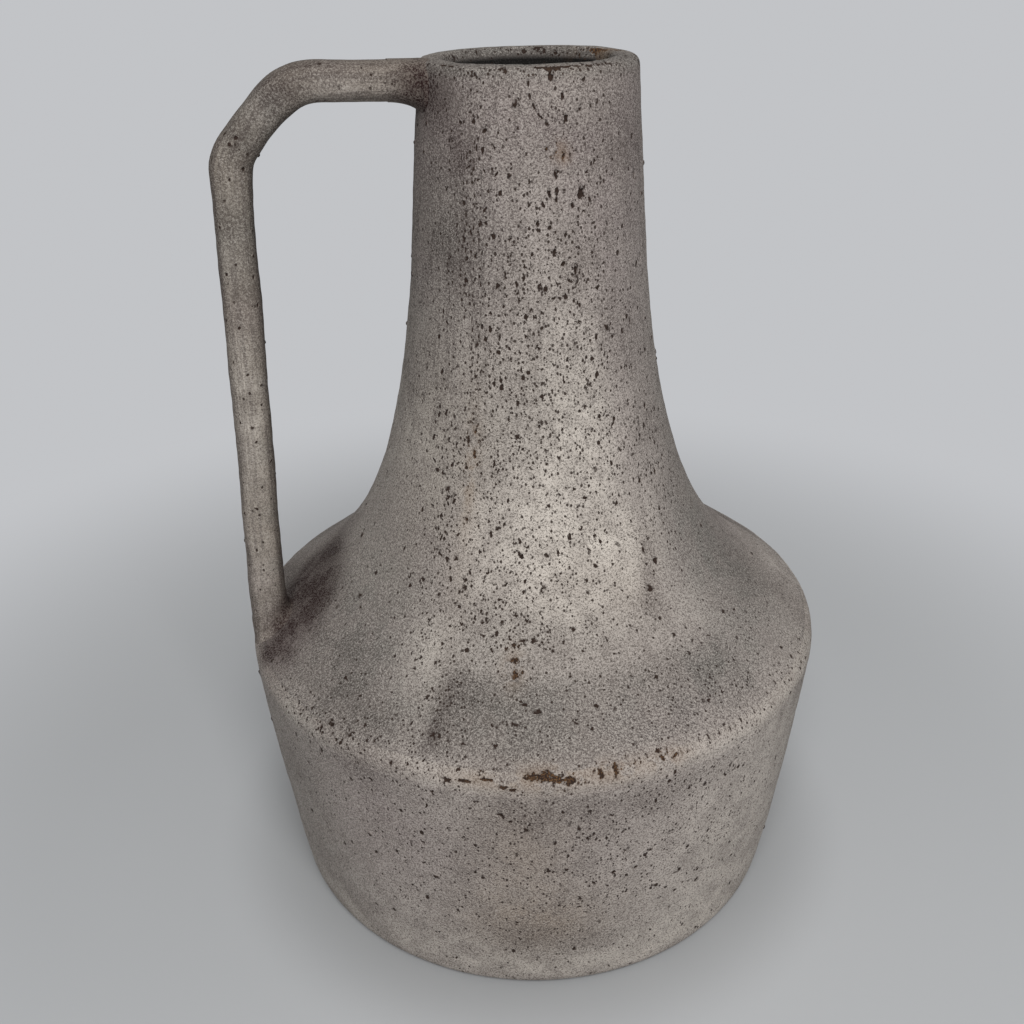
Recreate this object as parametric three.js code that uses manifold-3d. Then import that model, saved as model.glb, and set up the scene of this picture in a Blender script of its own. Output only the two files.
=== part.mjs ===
// A stoneware jug, thrown in two sections that meet at a sharp shoulder edge, with an angular pulled
// handle from the lip to the shoulder. The clay pieces are joined with luting slip.
// Millimetres, +Z up. The origin is the centre of the foot, and the handle lies along -X.

import * as THREE from "three";
import { mergeVertices } from "three/addons/utils/BufferGeometryUtils.js";
import Module from "manifold-3d";

// Lower section
const FOOT_RADIUS = 80; // where the wall would meet the ground if the foot's edge were sharp
const FOOT_EDGE = 4; // rounding of the foot's outer edge
const FOOT_RING_WIDTH = 12; // flat standing ring
const FOOT_RECESS = 2; // depth turned out of the underside, inside the ring
const FOOT_RECESS_SLOPE = 3; // width of the slope from the ring up to the recess
const FLOOR = 8; // floor thickness over the recess
const FLOOR_FILLET = 14; // rounding between the floor and the wall, inside
const BELLY_RADIUS = 89.2; // the shoulder edge, if it were sharp
const BELLY_HEIGHT = 86;
const BELLY_EDGE = 3.5; // rounding of the shoulder edge
const BELLY_SWELL = 0.8; // how far the lower wall swells past a straight cone

// Upper section
const HEIGHT = 250; // ground to lip
const CONE_RUN = 17; // straight start of the shoulder, measured towards the axis
const CONE_RISE = 13; // and upwards
const NECK_RADIUS = 31.9; // where the neck becomes straight
const NECK_STRAIGHT = 42; // length of that straight top
const MOUTH_RADIUS = 28.5;
const SHOULDER_TENSION = 0.25; // how strongly the curve holds to the shoulder's slope
const NECK_TENSION = 0.57; // and to the neck's

const WALL = 6; // thickness of both thrown sections

// Bevelled joint between the sections
const SEAM_BED = 1; // slip between the two edges
const SEAM_GROOVE = 3; // depth of the groove that the slip's nose fills

// Handle, a strip of oval section
const HANDLE_WIDTH = 13; // across the handle's plane
const HANDLE_THICKNESS = 10.6; // in the handle's plane
const HANDLE_SQUARENESS = 2.6; // 2 is an ellipse, more is squarer
const BAR_DROP = 5.2; // centre of the bar below the lip, at the neck
const BAR_RISE = 1.6; // how much higher the bar's outer end lies
const BEND_RADIUS = 63.5; // first bend, from the axis
const ELBOW_RADIUS = 77.6; // second bend, from the axis
const ELBOW_DROP = 21.5; // second bend below the lip
const BEND_ROUND = 9.7; // distance from the first bend at which it starts to round
const ELBOW_ROUND = 4.2; // and from the second
const FOOT_INSET = 6.2; // centre of the handle's foot, inside the shoulder edge

// Luting slip at the handle's two ends
const SLIP_BED = 1; // slip between the clay faces
const SLIP_LEAST = 0.5; // thickness of a fillet where it runs out, on the handle
const TOP_REACH = 8; // how far the upper fillet runs along the bar
const TOP_FLARE = 3.5; // how far it spreads on the neck
const FOOT_REACH = 7; // how far the lower fillet climbs the post
const FOOT_FLARE = 2.5; // how far it spreads on the shoulder

const GAP = 0.3; // clearance between touching pieces

// Fineness of the facets
const TURN_STEPS = 64;
const WALL_STEPS = 5;
const EDGE_STEPS = 4;
const LIP_STEPS = 6;
const NECK_STEPS = 12;
const BEND_STEPS = 7;
const SECTION_STEPS = 20;
const FILLET_STEPS = 5;
const SAME_POINT = 1e-4; // points closer than this are one

const wasm = await Module();
wasm.setup();

const point = (radius, height) => new THREE.Vector2(radius, height);
const towards = (from, to) => to.clone().sub(from).normalize();
const along = (start, direction, distance) => start.clone().addScaledVector(direction, distance);

// Corners of the outer skin, as radius and height, and the directions between them
const footCorner = point(FOOT_RADIUS, 0);
const bellyCorner = point(BELLY_RADIUS, BELLY_HEIGHT);
const coneEnd = point(BELLY_RADIUS - CONE_RUN, BELLY_HEIGHT + CONE_RISE);
const neckStart = point(NECK_RADIUS, HEIGHT - NECK_STRAIGHT);
const mouthCorner = point(MOUTH_RADIUS, HEIGHT);
const upWall = towards(footCorner, bellyCorner);
const upShoulder = towards(bellyCorner, coneEnd);
const upNeck = towards(neckStart, mouthCorner);

// The mitre between wall and shoulder runs inwards from the shoulder edge.
const mitre = upShoulder.clone().sub(upWall).normalize();
const mitreSine = Math.abs(upWall.cross(mitre));
const innerCorner = along(bellyCorner, mitre, WALL / mitreSine);

// Points of an outline moved sideways: to the left of its direction, or to the right if negative
function movedSideways(points, distance) {
  return points.map((here, i) => {
    const before = points[Math.max(i - 1, 0)];
    const after = points[Math.min(i + 1, points.length - 1)];
    const direction = towards(before, after);
    return along(here, point(-direction.y, direction.x), distance);
  });
}

// Lower wall, from just above the foot's rounding to where the shoulder edge starts to round
function lowerWall() {
  const start = along(footCorner, upWall, FOOT_EDGE);
  const end = along(bellyCorner, upWall, -BELLY_EDGE);
  const outwards = point(upWall.y, -upWall.x);
  const middle = along(start.clone().lerp(end, 0.5), outwards, 2 * BELLY_SWELL);
  return new THREE.QuadraticBezierCurve(start, middle, end).getPoints(WALL_STEPS);
}

// Rounded shoulder edge, between the two directions that meet there
function bellyNose() {
  const start = along(bellyCorner, upWall, -BELLY_EDGE);
  const end = along(bellyCorner, upShoulder, BELLY_EDGE);
  return new THREE.QuadraticBezierCurve(start, bellyCorner, end).getPoints(EDGE_STEPS);
}

// Shoulder and neck, from the shoulder edge's rounding to the lip's
function upperWall() {
  const reach = coneEnd.distanceTo(neckStart);
  const lipStart = along(mouthCorner, upNeck, -WALL / 2 / upNeck.y);
  const sweep = new THREE.CubicBezierCurve(
    coneEnd,
    along(coneEnd, upShoulder, SHOULDER_TENSION * reach),
    along(neckStart, upNeck, -NECK_TENSION * reach),
    neckStart,
  );
  return [along(bellyCorner, upShoulder, BELLY_EDGE), ...sweep.getPoints(NECK_STEPS), lipStart];
}

// Half round lip, from its outer side over its top to its inner side
function lipRound(start) {
  const centre = point(start.x - WALL / 2, start.y);
  return new THREE.EllipseCurve(centre.x, centre.y, WALL / 2, WALL / 2, 0, Math.PI)
    .getPoints(LIP_STEPS)
    .slice(1, -1);
}

// Turned solid from an outline of radius and height
function turned(outline) {
  return new THREE.LatheGeometry(outline, TURN_STEPS).rotateX(Math.PI / 2);
}

// Outline that ends where it starts
function closed(outline) {
  return [...outline, outline[0].clone()];
}

// One of the joint's two bevelled edges, from the outer skin to the inner wall.
// awayFromJoint is the direction in which the clay lies, and play widens the joint.
function seamEdge(awayFromJoint, play) {
  const shift = (SEAM_BED / 2 + play) / mitreSine;
  return [
    along(bellyCorner, awayFromJoint, BELLY_EDGE + play),
    along(along(bellyCorner, mitre, SEAM_GROOVE), awayFromJoint, shift),
    along(innerCorner, awayFromJoint, shift),
  ];
}

const downWall = upWall.clone().negate();

// Bowl: recessed underside, standing ring, wall, bevelled rim, and back down the inside to the floor
function lowerBody() {
  const ringOuter = FOOT_RADIUS - FOOT_EDGE;
  const ringInner = ringOuter - FOOT_RING_WIDTH;
  const floorTop = FOOT_RECESS + FLOOR;
  const outer = lowerWall();
  const footRound = new THREE.QuadraticBezierCurve(point(ringOuter, 0), footCorner, outer[0]);
  const rim = seamEdge(downWall, GAP);
  const inner = movedSideways(outer, WALL).reverse();
  const floorCorner = along(inner.at(-1), upWall, (floorTop - inner.at(-1).y) / upWall.y);
  const fillet = new THREE.QuadraticBezierCurve(
    along(floorCorner, upWall, FLOOR_FILLET),
    floorCorner,
    point(floorCorner.x - FLOOR_FILLET, floorTop),
  ).getPoints(WALL_STEPS);
  return turned([
    point(0, FOOT_RECESS),
    point(ringInner - FOOT_RECESS_SLOPE, FOOT_RECESS),
    point(ringInner, 0),
    ...footRound.getPoints(EDGE_STEPS),
    ...outer.slice(1, -1),
    ...rim,
    ...inner.filter((here) => here.y < rim.at(-1).y && here.y > fillet[0].y),
    ...fillet,
    point(0, floorTop),
  ]);
}

// Upper section: up the outside to the lip, over it, and back down the inside to the bevelled rim
function shoulderNeck() {
  const rim = seamEdge(upShoulder, GAP);
  const outer = upperWall();
  const inner = movedSideways(outer, WALL).reverse();
  return turned(
    closed([
      rim[0],
      ...outer.slice(1),
      ...lipRound(outer.at(-1)),
      ...inner.filter((here) => here.y > rim.at(-1).y),
      rim[2],
      rim[1],
    ]),
  );
}

// Ring of slip between the two rims, with a nose that forms the shoulder edge
function seamSlip() {
  const below = seamEdge(downWall, 0);
  const above = seamEdge(upShoulder, 0);
  return turned(closed([...bellyNose(), above[1], above[2], below[2], below[1]]));
}

// The whole jug's outer form as one filled solid, grown by a distance, for cutting what is luted to it
function filledJug(growth) {
  const upper = upperWall();
  const skin = [...lowerWall(), ...bellyNose().slice(1), ...upper.slice(1), ...lipRound(upper.at(-1))];
  const crown = skin.slice(0, -LIP_STEPS / 2 + 1);
  const grown = movedSideways(crown, -growth);
  return turned([point(0, grown[0].y), ...grown, point(0, grown.at(-1).y)]);
}

// Handle centre line, as distance from the axis and height
const barStart = point(MOUTH_RADIUS - WALL / 2, HEIGHT - BAR_DROP);
const bend = point(BEND_RADIUS, HEIGHT - BAR_DROP + BAR_RISE);
const elbow = point(ELBOW_RADIUS, HEIGHT - ELBOW_DROP);
const handleFoot = along(bellyCorner, upShoulder, FOOT_INSET / Math.abs(upShoulder.x));
const alongBar = towards(barStart, bend);
const alongElbow = towards(bend, elbow);
const alongPost = towards(elbow, handleFoot);
const postEnd = along(handleFoot, alongPost, BELLY_EDGE); // under the skin, also at the rounded edge
const shoulderSlope = CONE_RISE / CONE_RUN;

function handleLine() {
  return new THREE.Path()
    .moveTo(barStart.x, barStart.y)
    .lineTo(...along(bend, alongBar, -BEND_ROUND).toArray())
    .quadraticCurveTo(...bend.toArray(), ...along(bend, alongElbow, BEND_ROUND).toArray())
    .lineTo(...along(elbow, alongElbow, -ELBOW_ROUND).toArray())
    .quadraticCurveTo(...elbow.toArray(), ...along(elbow, alongPost, ELBOW_ROUND).toArray())
    .lineTo(...postEnd.toArray())
    .getPoints(BEND_STEPS);
}

// One section of the handle's strip. grow holds how much wider it is at its sides, on the face that
// looks away from the jug's hollow, and on the face that looks at it. slant leans the section over, to lie
// along a sloping wall: it is the distance along the strip for each millimetre outwards.
function stripSection(centre, direction, grow, slant = 0) {
  const outwards = point(-direction.y, direction.x);
  const power = 2 / HANDLE_SQUARENESS;
  const swell = (value) => Math.sign(value) * Math.abs(value) ** power;
  return Array.from({ length: SECTION_STEPS }, (_, i) => {
    const angle = (2 * Math.PI * i) / SECTION_STEPS;
    const faceGrowth = Math.sin(angle) > 0 ? grow.outer : grow.inner;
    const across = swell(Math.cos(angle)) * (HANDLE_WIDTH / 2 + grow.side);
    const out = swell(Math.sin(angle)) * (HANDLE_THICKNESS / 2 + faceGrowth);
    const place = along(along(centre, outwards, out), direction, slant * out);
    return new THREE.Vector3(-place.x, across, place.y);
  });
}

// Closed solid through a row of sections
function loft(sections) {
  const count = sections[0].length;
  const vertices = sections.flat();
  const faces = [];
  for (let row = 0; row + 1 < sections.length; row++) {
    for (let i = 0; i < count; i++) {
      const a = row * count + i;
      const b = row * count + ((i + 1) % count);
      faces.push(a, a + count, b, b, a + count, b + count);
    }
  }
  const last = vertices.length - count;
  for (let i = 1; i + 1 < count; i++) {
    faces.push(0, i, i + 1, last, last + i + 1, last + i);
  }
  const geometry = new THREE.BufferGeometry().setFromPoints(vertices);
  geometry.setIndex(faces);
  return geometry;
}

// Growth of a section: the same all round, or a fillet's, which is flush on the outer face
const even = (growth) => ({ side: growth, outer: growth, inner: growth });
const flared = (growth) => ({ ...even(growth + SLIP_LEAST + GAP), outer: 0 });

// The handle's strip of clay along its whole line, running on into the wall at both ends
function handleStrip(growth) {
  const line = handleLine();
  const last = line.length - 1;
  return loft(
    line.map((here, i) => {
      const direction = towards(line[Math.max(i - 1, 0)], line[Math.min(i + 1, last)]);
      return stripSection(here, direction, even(growth), i === last ? shoulderSlope : 0);
    }),
  );
}

// Sections of slip that flares from the handle onto the wall. They start at one end of the handle's line,
// under the wall's skin, and run back along the handle from where it leaves the skin.
// The face that looks away from the jug's hollow stays flush with the handle.
function slipFlare(end, skin, direction, slant, reach, flare) {
  const back = towards(end, skin);
  const sections = [stripSection(end, direction, flared(flare), slant)];
  for (let i = 0; i <= FILLET_STEPS; i++) {
    const climb = i / FILLET_STEPS;
    const spread = flare * (1 - Math.sqrt(1 - (1 - climb) ** 2));
    sections.push(stripSection(along(skin, back, reach * climb), direction, flared(spread), slant));
  }
  return sections;
}

// Manifold solids, for cutting
function solid(geometry) {
  const bare = new THREE.BufferGeometry();
  bare.setAttribute("position", geometry.getAttribute("position"));
  bare.setIndex(geometry.index);
  const merged = mergeVertices(bare, SAME_POINT);
  return new wasm.Manifold(
    new wasm.Mesh({
      numProp: 3,
      vertProperties: new Float32Array(merged.attributes.position.array),
      triVerts: new Uint32Array(merged.index.array),
    }),
  );
}

function geometryOf(manifold) {
  const mesh = manifold.getMesh();
  const geometry = new THREE.BufferGeometry();
  geometry.setAttribute("position", new THREE.BufferAttribute(mesh.vertProperties, 3));
  geometry.setIndex(new THREE.BufferAttribute(mesh.triVerts, 1));
  geometry.computeVertexNormals();
  return geometry;
}

// Handle, its ends cut back from the jug's skin to leave room for the slip beds
const handleSolid = solid(handleStrip(0)).subtract(solid(filledJug(SLIP_BED + GAP)));
const handleRoom = solid(handleStrip(GAP)).subtract(solid(filledJug(SLIP_BED)));
const jugRoom = solid(filledJug(GAP));

// Bed and fillet of slip at each end of the handle
function lutingSlip(sections) {
  return solid(loft(sections)).subtract(jugRoom).subtract(handleRoom);
}

const barRoot = along(barStart, alongBar, WALL / 2);
const topSlip = lutingSlip(slipFlare(barStart, barRoot, alongBar, 0, TOP_REACH, TOP_FLARE));
const footFlare = slipFlare(postEnd, handleFoot, alongPost, shoulderSlope, FOOT_REACH, FOOT_FLARE);
const footSlip = lutingSlip(footFlare.reverse());

const group = new THREE.Group();

function addPiece(name, geometry, color, roughness) {
  const material = new THREE.MeshStandardMaterial({ color, roughness, metalness: 0 });
  const mesh = new THREE.Mesh(geometry, material);
  mesh.name = name;
  group.add(mesh);
}

addPiece("lower_body", lowerBody(), 0x8d857d, 0.8);
addPiece("shoulder_neck", shoulderNeck(), 0x8a837b, 0.8);
addPiece("seam_slip", seamSlip(), 0xa59a8d, 0.9);
addPiece("handle", geometryOf(handleSolid), 0x7d766e, 0.8);
addPiece("handle_top_slip", geometryOf(topSlip), 0x6f675f, 0.9);
addPiece("handle_foot_slip", geometryOf(footSlip), 0x5a514a, 0.9);

export default group;
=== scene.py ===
"""Looks of a stoneware jug: a thrown body, a luted shoulder ridge, a pulled handle and a pitted glaze."""

from collections import namedtuple
import math
import random

import bmesh
import bpy
import numpy as np
from mathutils import Matrix, Vector, geometry, kdtree, noise


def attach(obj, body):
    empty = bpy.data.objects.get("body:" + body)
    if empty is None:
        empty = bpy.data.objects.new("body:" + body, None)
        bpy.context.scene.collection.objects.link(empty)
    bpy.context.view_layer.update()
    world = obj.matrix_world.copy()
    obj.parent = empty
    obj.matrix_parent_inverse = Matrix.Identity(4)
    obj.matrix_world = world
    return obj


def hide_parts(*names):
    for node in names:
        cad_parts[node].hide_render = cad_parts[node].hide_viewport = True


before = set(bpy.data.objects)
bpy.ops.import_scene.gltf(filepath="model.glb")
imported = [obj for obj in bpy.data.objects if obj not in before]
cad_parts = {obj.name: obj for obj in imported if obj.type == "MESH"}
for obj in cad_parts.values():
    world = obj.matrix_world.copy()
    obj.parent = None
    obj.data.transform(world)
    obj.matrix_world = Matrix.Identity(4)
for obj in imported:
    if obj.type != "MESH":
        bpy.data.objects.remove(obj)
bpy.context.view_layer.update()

MM = 0.001  # the sizes below are millimetres, and the scene is metres

# Lower section, as in the solids
FOOT_RADIUS = 80.0
FOOT_EDGE = 4.0
FOOT_RING_WIDTH = 12.0
FOOT_RECESS = 2.0
FOOT_RECESS_SLOPE = 3.0
FLOOR = 8.0
FLOOR_FILLET = 14.0
BELLY_RADIUS = 89.2
BELLY_HEIGHT = 86.0
BELLY_EDGE = 3.5
BELLY_SWELL = 0.8

# Upper section
HEIGHT = 250.0
CONE_RUN = 17.0
CONE_RISE = 13.0
NECK_RADIUS = 31.9
NECK_STRAIGHT = 42.0
MOUTH_RADIUS = 28.5
SHOULDER_TENSION = 0.25
NECK_TENSION = 0.57
WALL = 6.0
SEAM_GROOVE = 3.0
LIP_CREST = 1.6  # from the lip's inner edge to its crest
LIP_SWELL = 0.9  # how far the lip stands into the mouth
LIP_DEPTH = 7.0  # height over which it does so
LIP_ROUND = 2.2  # height of the lip's outer round
LIP_FALL = 0.1  # how far the flat top falls from its crest to the outer round
LIP_EASE = 0.2  # how far the outer round stays below its corner, and the inner one draws back

# Handle and its luting slip
HANDLE_WIDTH = 13.0
HANDLE_THICKNESS = 10.6
HANDLE_SQUARENESS = 2.6
BAR_DROP = 5.2
BAR_RISE = 1.6
BEND_RADIUS = 63.5
ELBOW_RADIUS = 77.6
ELBOW_DROP = 21.5
BEND_ROUND = 9.7
ELBOW_ROUND = 4.2
FOOT_INSET = 6.2
# Where the strip is thicker or thinner than that: distance from the axis, height, reach, and how much
# thicker on the face that looks at the jug and on the one that looks away from it
HANDLE_SWELLS = [
    (33.0, 244.5, 10.0, -0.4, -0.2),
    (45.0, 245.5, 9.0, -0.35, -0.45),
    (56.0, 246.0, 7.0, -0.15, -0.25),
    (64.5, 244.5, 5.0, 0.6, -0.4),
    (68.5, 240.0, 5.0, 0.4, -1.0),
    (73.0, 234.5, 5.0, 0.0, -0.4),
    (78.0, 226.0, 6.0, 0.15, 0.25),
    (78.4, 208.0, 12.0, -0.25, -0.1),
    (79.3, 185.0, 12.0, 0.1, -0.3),
    (80.4, 158.0, 16.0, -0.2, -0.05),
    (81.5, 130.0, 14.0, -0.5, 0.15),
    (82.6, 104.0, 9.0, -0.15, 0.45),
]
SLIP_SKIN = 0.15  # thickness of the slip where it runs out on the handle
SLIP_DEPTH = 2.5  # how far the slip and the handle run in under the jug's skin
TOP_REACH = 8.0
TOP_FLARE = 2.8
FOOT_REACH = 6.0
FOOT_FLARE = 1.9

# Fineness of the meshes
TURN_STEPS = 240  # of the upper section
WALL_TURN_STEPS = 360  # of the lower section and the ridge
SECTORS = 12  # the turned pieces are spun as one sector, which is then copied round
MERGE_DISTANCE = 0.001
SKIN_STEP = 1.4
RIDGE_STEP = 0.7
LIP_STEP = 0.8
HIDDEN_STEP = 8.0
MOUTH_SEEN = 215.0  # height above which the inside of the neck shows
SECTION_POINTS = 48
HANDLE_STEP = 1.1
CURVE_STEPS = 60
SLOPE_STEP = 0.5  # height up and down over which the skin's slope is taken
SHARP_ANGLE = 60.0  # edges sharper than this, in degrees, aren't shaded as one skin

# Turns are degrees round the jug, from -Y towards +X. The handle is at -90.

# The hand's unevenness: size of a swell, and how far it moves the skin
SWELLS = [(38.0, 0.35), (11.0, 0.16), (3.4, 0.07)]
FOOT_STEADY = 7.0  # height below which the unevenness dies out, so that the foot stands flat
THROWING_PITCH = 5.5  # climb of the throwing rings for each turn of the wheel
THROWING_DEPTH = 0.03
THROWING_WANDER = 3.0  # how far the rings stray from even, in radians
THROWING_WANDER_SIZE = 30.0
LEAN = 1.2  # rise of the shoulder on its high side
LEAN_TURN = 77.0
LEAN_REACH = 28.0  # height over which that rise dies out above and below the ridge
SAG = 0.35  # how far the shoulder has sunk above the ridge
SAG_HEIGHT = 108.0
SAG_REACH = 14.0
LIP_RISE = 0.44  # how far the hand has drawn the lip up, above RISE_START
LIP_TILT = 0.24  # how much more at the turn LIP_TILT_TURN, and less at the other side
LIP_TILT_TURN = 41.0
RISE_START = 232.0

SEED = 11
noise.seed_set(SEED)

# Pits, chips and crumbs that are modelled. Finer ones are in the materials.
MARK_MARGIN = 0.5  # skin around a mark that is cut finer too
MARK_FACING = 0.4  # how nearly a face has to face the way a mark does, to be cut for it
MARK_REACH = 0.8  # how far from its middle a mark is felt, as a share of its size
MARK_RAGGED = 0.75  # how far a mark's edge wanders from an oval
MARK_GRIT = 0.6  # size of that wandering
MARK_EDGE = 0.5  # share of a mark's half width over which its wall goes down
FINE_HEIGHT = 150.0  # above it the neck's faces are small enough for fewer cuts
CUTS = 4  # of each face near a mark below that height
NECK_CUTS = 3

# Scattered pits: each is a few broken spots. Pairs are the least and the most.
SHOULDER_PITS = 320
SHOULDER_PIT_HEIGHTS = (90, 246)
SHOULDER_SPARE = 0.05  # chance of a pit where the glaze isn't pitted
WALL_PITS = 150
WALL_PIT_HEIGHTS = (5, 84)
WALL_SPARE = 0.35
PIT_SPOTS = (1, 2, 2, 3)
PIT_WIDTHS = (0.33, 0.7)
PIT_STRETCH = (0.9, 2.2)  # length over width
PIT_DEPTHS = (0.25, 0.45)
PIT_LEAN = 50
PIT_DRIFT = 0.6  # from one spot of a pit to the next, round the jug
PIT_CLIMB = 0.7  # and up it
NECK_PITS = 0.8  # size of the pits on the neck, as a share of those below it
CRUMBS = 90
CRUMB_HEIGHTS = (8, 245)
CRUMB_WIDTHS = (0.7, 1.3)
CRUMB_RISES = (0.25, 0.5)

# The ridge: stretches combed by short strokes, and stretches worn into chips, from turn to turn
COMBED_RIDGE = [(-1, 34), (95, 130), (-160, -135)]
STROKE_HEIGHT = 87.6
STROKE_SHIFTS = (-0.5, 0.8)  # from that height
STROKE_GAPS = (0.9, 2.1)
STROKE_WIDTH = 0.55
STROKE_LENGTHS = (1.4, 3.0)
STROKE_DEPTH = 0.3
STROKE_LEAN = 12
STROKE_DIRT = (0.25, 0.8)
WORN_RIDGE = [(-62, -34), (36, 58), (140, 175), (-120, -100)]
WORN_CHIPS = 14  # in each stretch
WORN_HEIGHTS = (85.5, 89.0)
WORN_WIDTHS = (0.4, 0.9)
WORN_LENGTHS = (0.5, 1.4)
WORN_DEPTH = 0.35

# Rows of small pits: turn, from height to height
PIT_LINES = [
    (-38.5, 160, 236), (-35.5, 172, 222), (-43, 190, 232), (-45.6, 126, 147), (-44.6, 128, 145),
    (-41.5, 104, 118), (140, 165, 225), (-155, 160, 215),
]
LINE_WANDER = 0.5
LINE_WIDTH = 0.4
LINE_LENGTHS = (0.5, 1.2)
LINE_DEPTH = 0.25
LINE_GAPS = (1.6, 4.5)

# Marks on the handle lie along this share of it
HANDLE_MARKED = (0.05, 0.97)
HANDLE_PITS = 70
HANDLE_PIT_LEAST = 0.35
HANDLE_PIT_MORE = 0.5
HANDLE_PIT_STRETCH = (0.9, 1.8)
HANDLE_CRUMBS = 30
HANDLE_CRUMB_WIDTHS = (0.5, 0.9)
HANDLE_MARK_DEPTH = 0.3

# Marks chosen one by one: turn, height, width, length, depth, lean
CHOSEN_MARKS = [
    (11.9, 221.4, 1.8, 2.2, 0.8, 10), (5.1, 238.6, 0.9, 2.3, 0.6, -15), (3.3, 243.1, 0.9, 1.5, 0.5, 0),
    (-1.8, 247.6, 1.2, 2.0, 0.6, -5), (12.3, 240.4, 0.8, 0.7, 0.4, 0), (-12.7, 246.2, 0.5, 1.4, 0.35, 8),
    (-11.9, 243.4, 0.6, 1.7, 0.35, 8), (-9.8, 241.2, 0.5, 2.0, 0.35, 28),
    (-6.6, 239.0, 0.5, 1.9, 0.35, 42), (-3.8, 237.6, 0.6, 1.2, 0.35, 60), (3.8, 230.2, 0.9, 1.2, 0.5, 0),
    (-4.2, 232.2, 0.7, 1.1, 0.4, 0), (-0.1, 226.1, 0.8, 2.0, 0.5, 10), (-33.8, 236.0, 0.9, 1.4, 0.5, 0),
    (47.7, 223.5, 0.9, 1.4, 0.5, 0), (52.4, 201.4, 0.9, 1.6, 0.5, 0), (-27.8, 226.2, 0.5, 1.9, 0.4, -40),
    (-3.5, 222.0, 0.9, 1.3, 0.5, 20), (0.2, 220.2, 0.8, 1.2, 0.5, 0), (7.8, 218.7, 0.7, 1.5, 0.5, 30),
    (-8.6, 214.7, 0.9, 1.2, 0.5, 0), (-3.2, 213.6, 1.0, 1.0, 0.5, 0), (8.7, 202.8, 0.9, 2.5, 0.6, 0),
    (3.0, 204.6, 1.1, 1.2, 0.5, 0), (-1.1, 207.5, 0.6, 2.0, 0.5, -20), (-38.3, 158.2, 0.8, 2.3, 0.5, 0),
    (-35.2, 154.5, 0.8, 2.7, 0.5, 10), (-16.3, 129.8, 1.0, 1.7, 0.5, 30), (-12.4, 110.6, 1.2, 1.6, 0.5, 0),
    (-14.4, 98.9, 1.6, 0.9, 0.5, 0), (-11.5, 97.7, 1.4, 1.2, 0.5, 0), (0.5, 97.9, 1.2, 1.2, 0.5, 0),
    (-16.9, 106.8, 1.9, 1.9, 0.7, 0), (-16.6, 104.2, 1.9, 2.7, 0.6, 0), (29.5, 122.4, 1.6, 1.7, 0.5, 20),
    (24.1, 116.9, 1.7, 1.6, 0.5, 0), (23.5, 110.2, 1.1, 1.1, 0.5, 0), (44.3, 161.9, 1.1, 1.2, 0.5, 0),
    (32.7, 143.3, 1.0, 1.4, 0.5, 0), (42.8, 143.5, 1.0, 1.7, 0.5, 0), (-13.0, 87.4, 3.6, 2.2, 0.6, 0),
    (-10.6, 87.4, 4.1, 2.7, 0.7, 0), (-8.6, 86.6, 3.2, 2.0, 0.6, 0), (-6.6, 86.2, 3.2, 2.3, 0.6, 0),
    (-1.2, 86.8, 1.4, 2.7, 0.5, 15), (1.5, 87.3, 1.3, 3.0, 0.6, 0), (9.6, 88.8, 1.0, 1.7, 0.5, 20),
    (10.2, 87.2, 0.9, 1.5, 0.5, 20), (12.6, 86.8, 2.0, 0.9, 0.5, 25), (-27.2, 85.0, 2.3, 1.3, 0.45, 0),
    (-24.0, 85.5, 4.5, 0.8, 0.4, 0), (-20.5, 86.4, 3.6, 0.7, 0.4, 0), (-17.6, 84.8, 1.8, 1.1, 0.4, 0),
    (-16.2, 84.1, 2.0, 0.9, 0.4, 0), (2.0, 49.2, 1.2, 1.2, 0.5, 0), (6.3, 49.5, 1.3, 1.2, 0.5, 0),
    (-4.1, 36.3, 1.1, 0.9, 0.5, 0), (-18.3, 74.8, 1.6, 0.9, 0.4, 0), (-16.6, 72.4, 1.0, 0.8, 0.4, 0),
]
# Chips on the lip: turn, place over the lip, width, length, depth
CHOSEN_LIP_MARKS = [
    (-6, 46, 4.0, 1.6, 0.5), (-1, 42, 5.0, 2.0, 0.6), (5, 46, 4.0, 1.6, 0.5), (12, 48, 2.6, 1.2, 0.4),
    (19, 44, 2.4, 1.2, 0.4), (26, 46, 2.0, 1.2, 0.4), (32, 44, 2.2, 1.2, 0.4), (-26, 38, 1.6, 1.4, 0.5),
    (-56, 44, 2.0, 1.2, 0.4), (-62, 48, 2.6, 1.2, 0.4), (106, 120, 5.0, 1.6, 0.4),
    (114, 128, 5.0, 2.0, 0.4), (160, 120, 3.0, 2.0, 0.4), (-170, 110, 2.2, 1.6, 0.4),
    (95, 90, 3.0, 1.6, 0.4), (-130, 84, 2.6, 1.8, 0.4),
]

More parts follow.
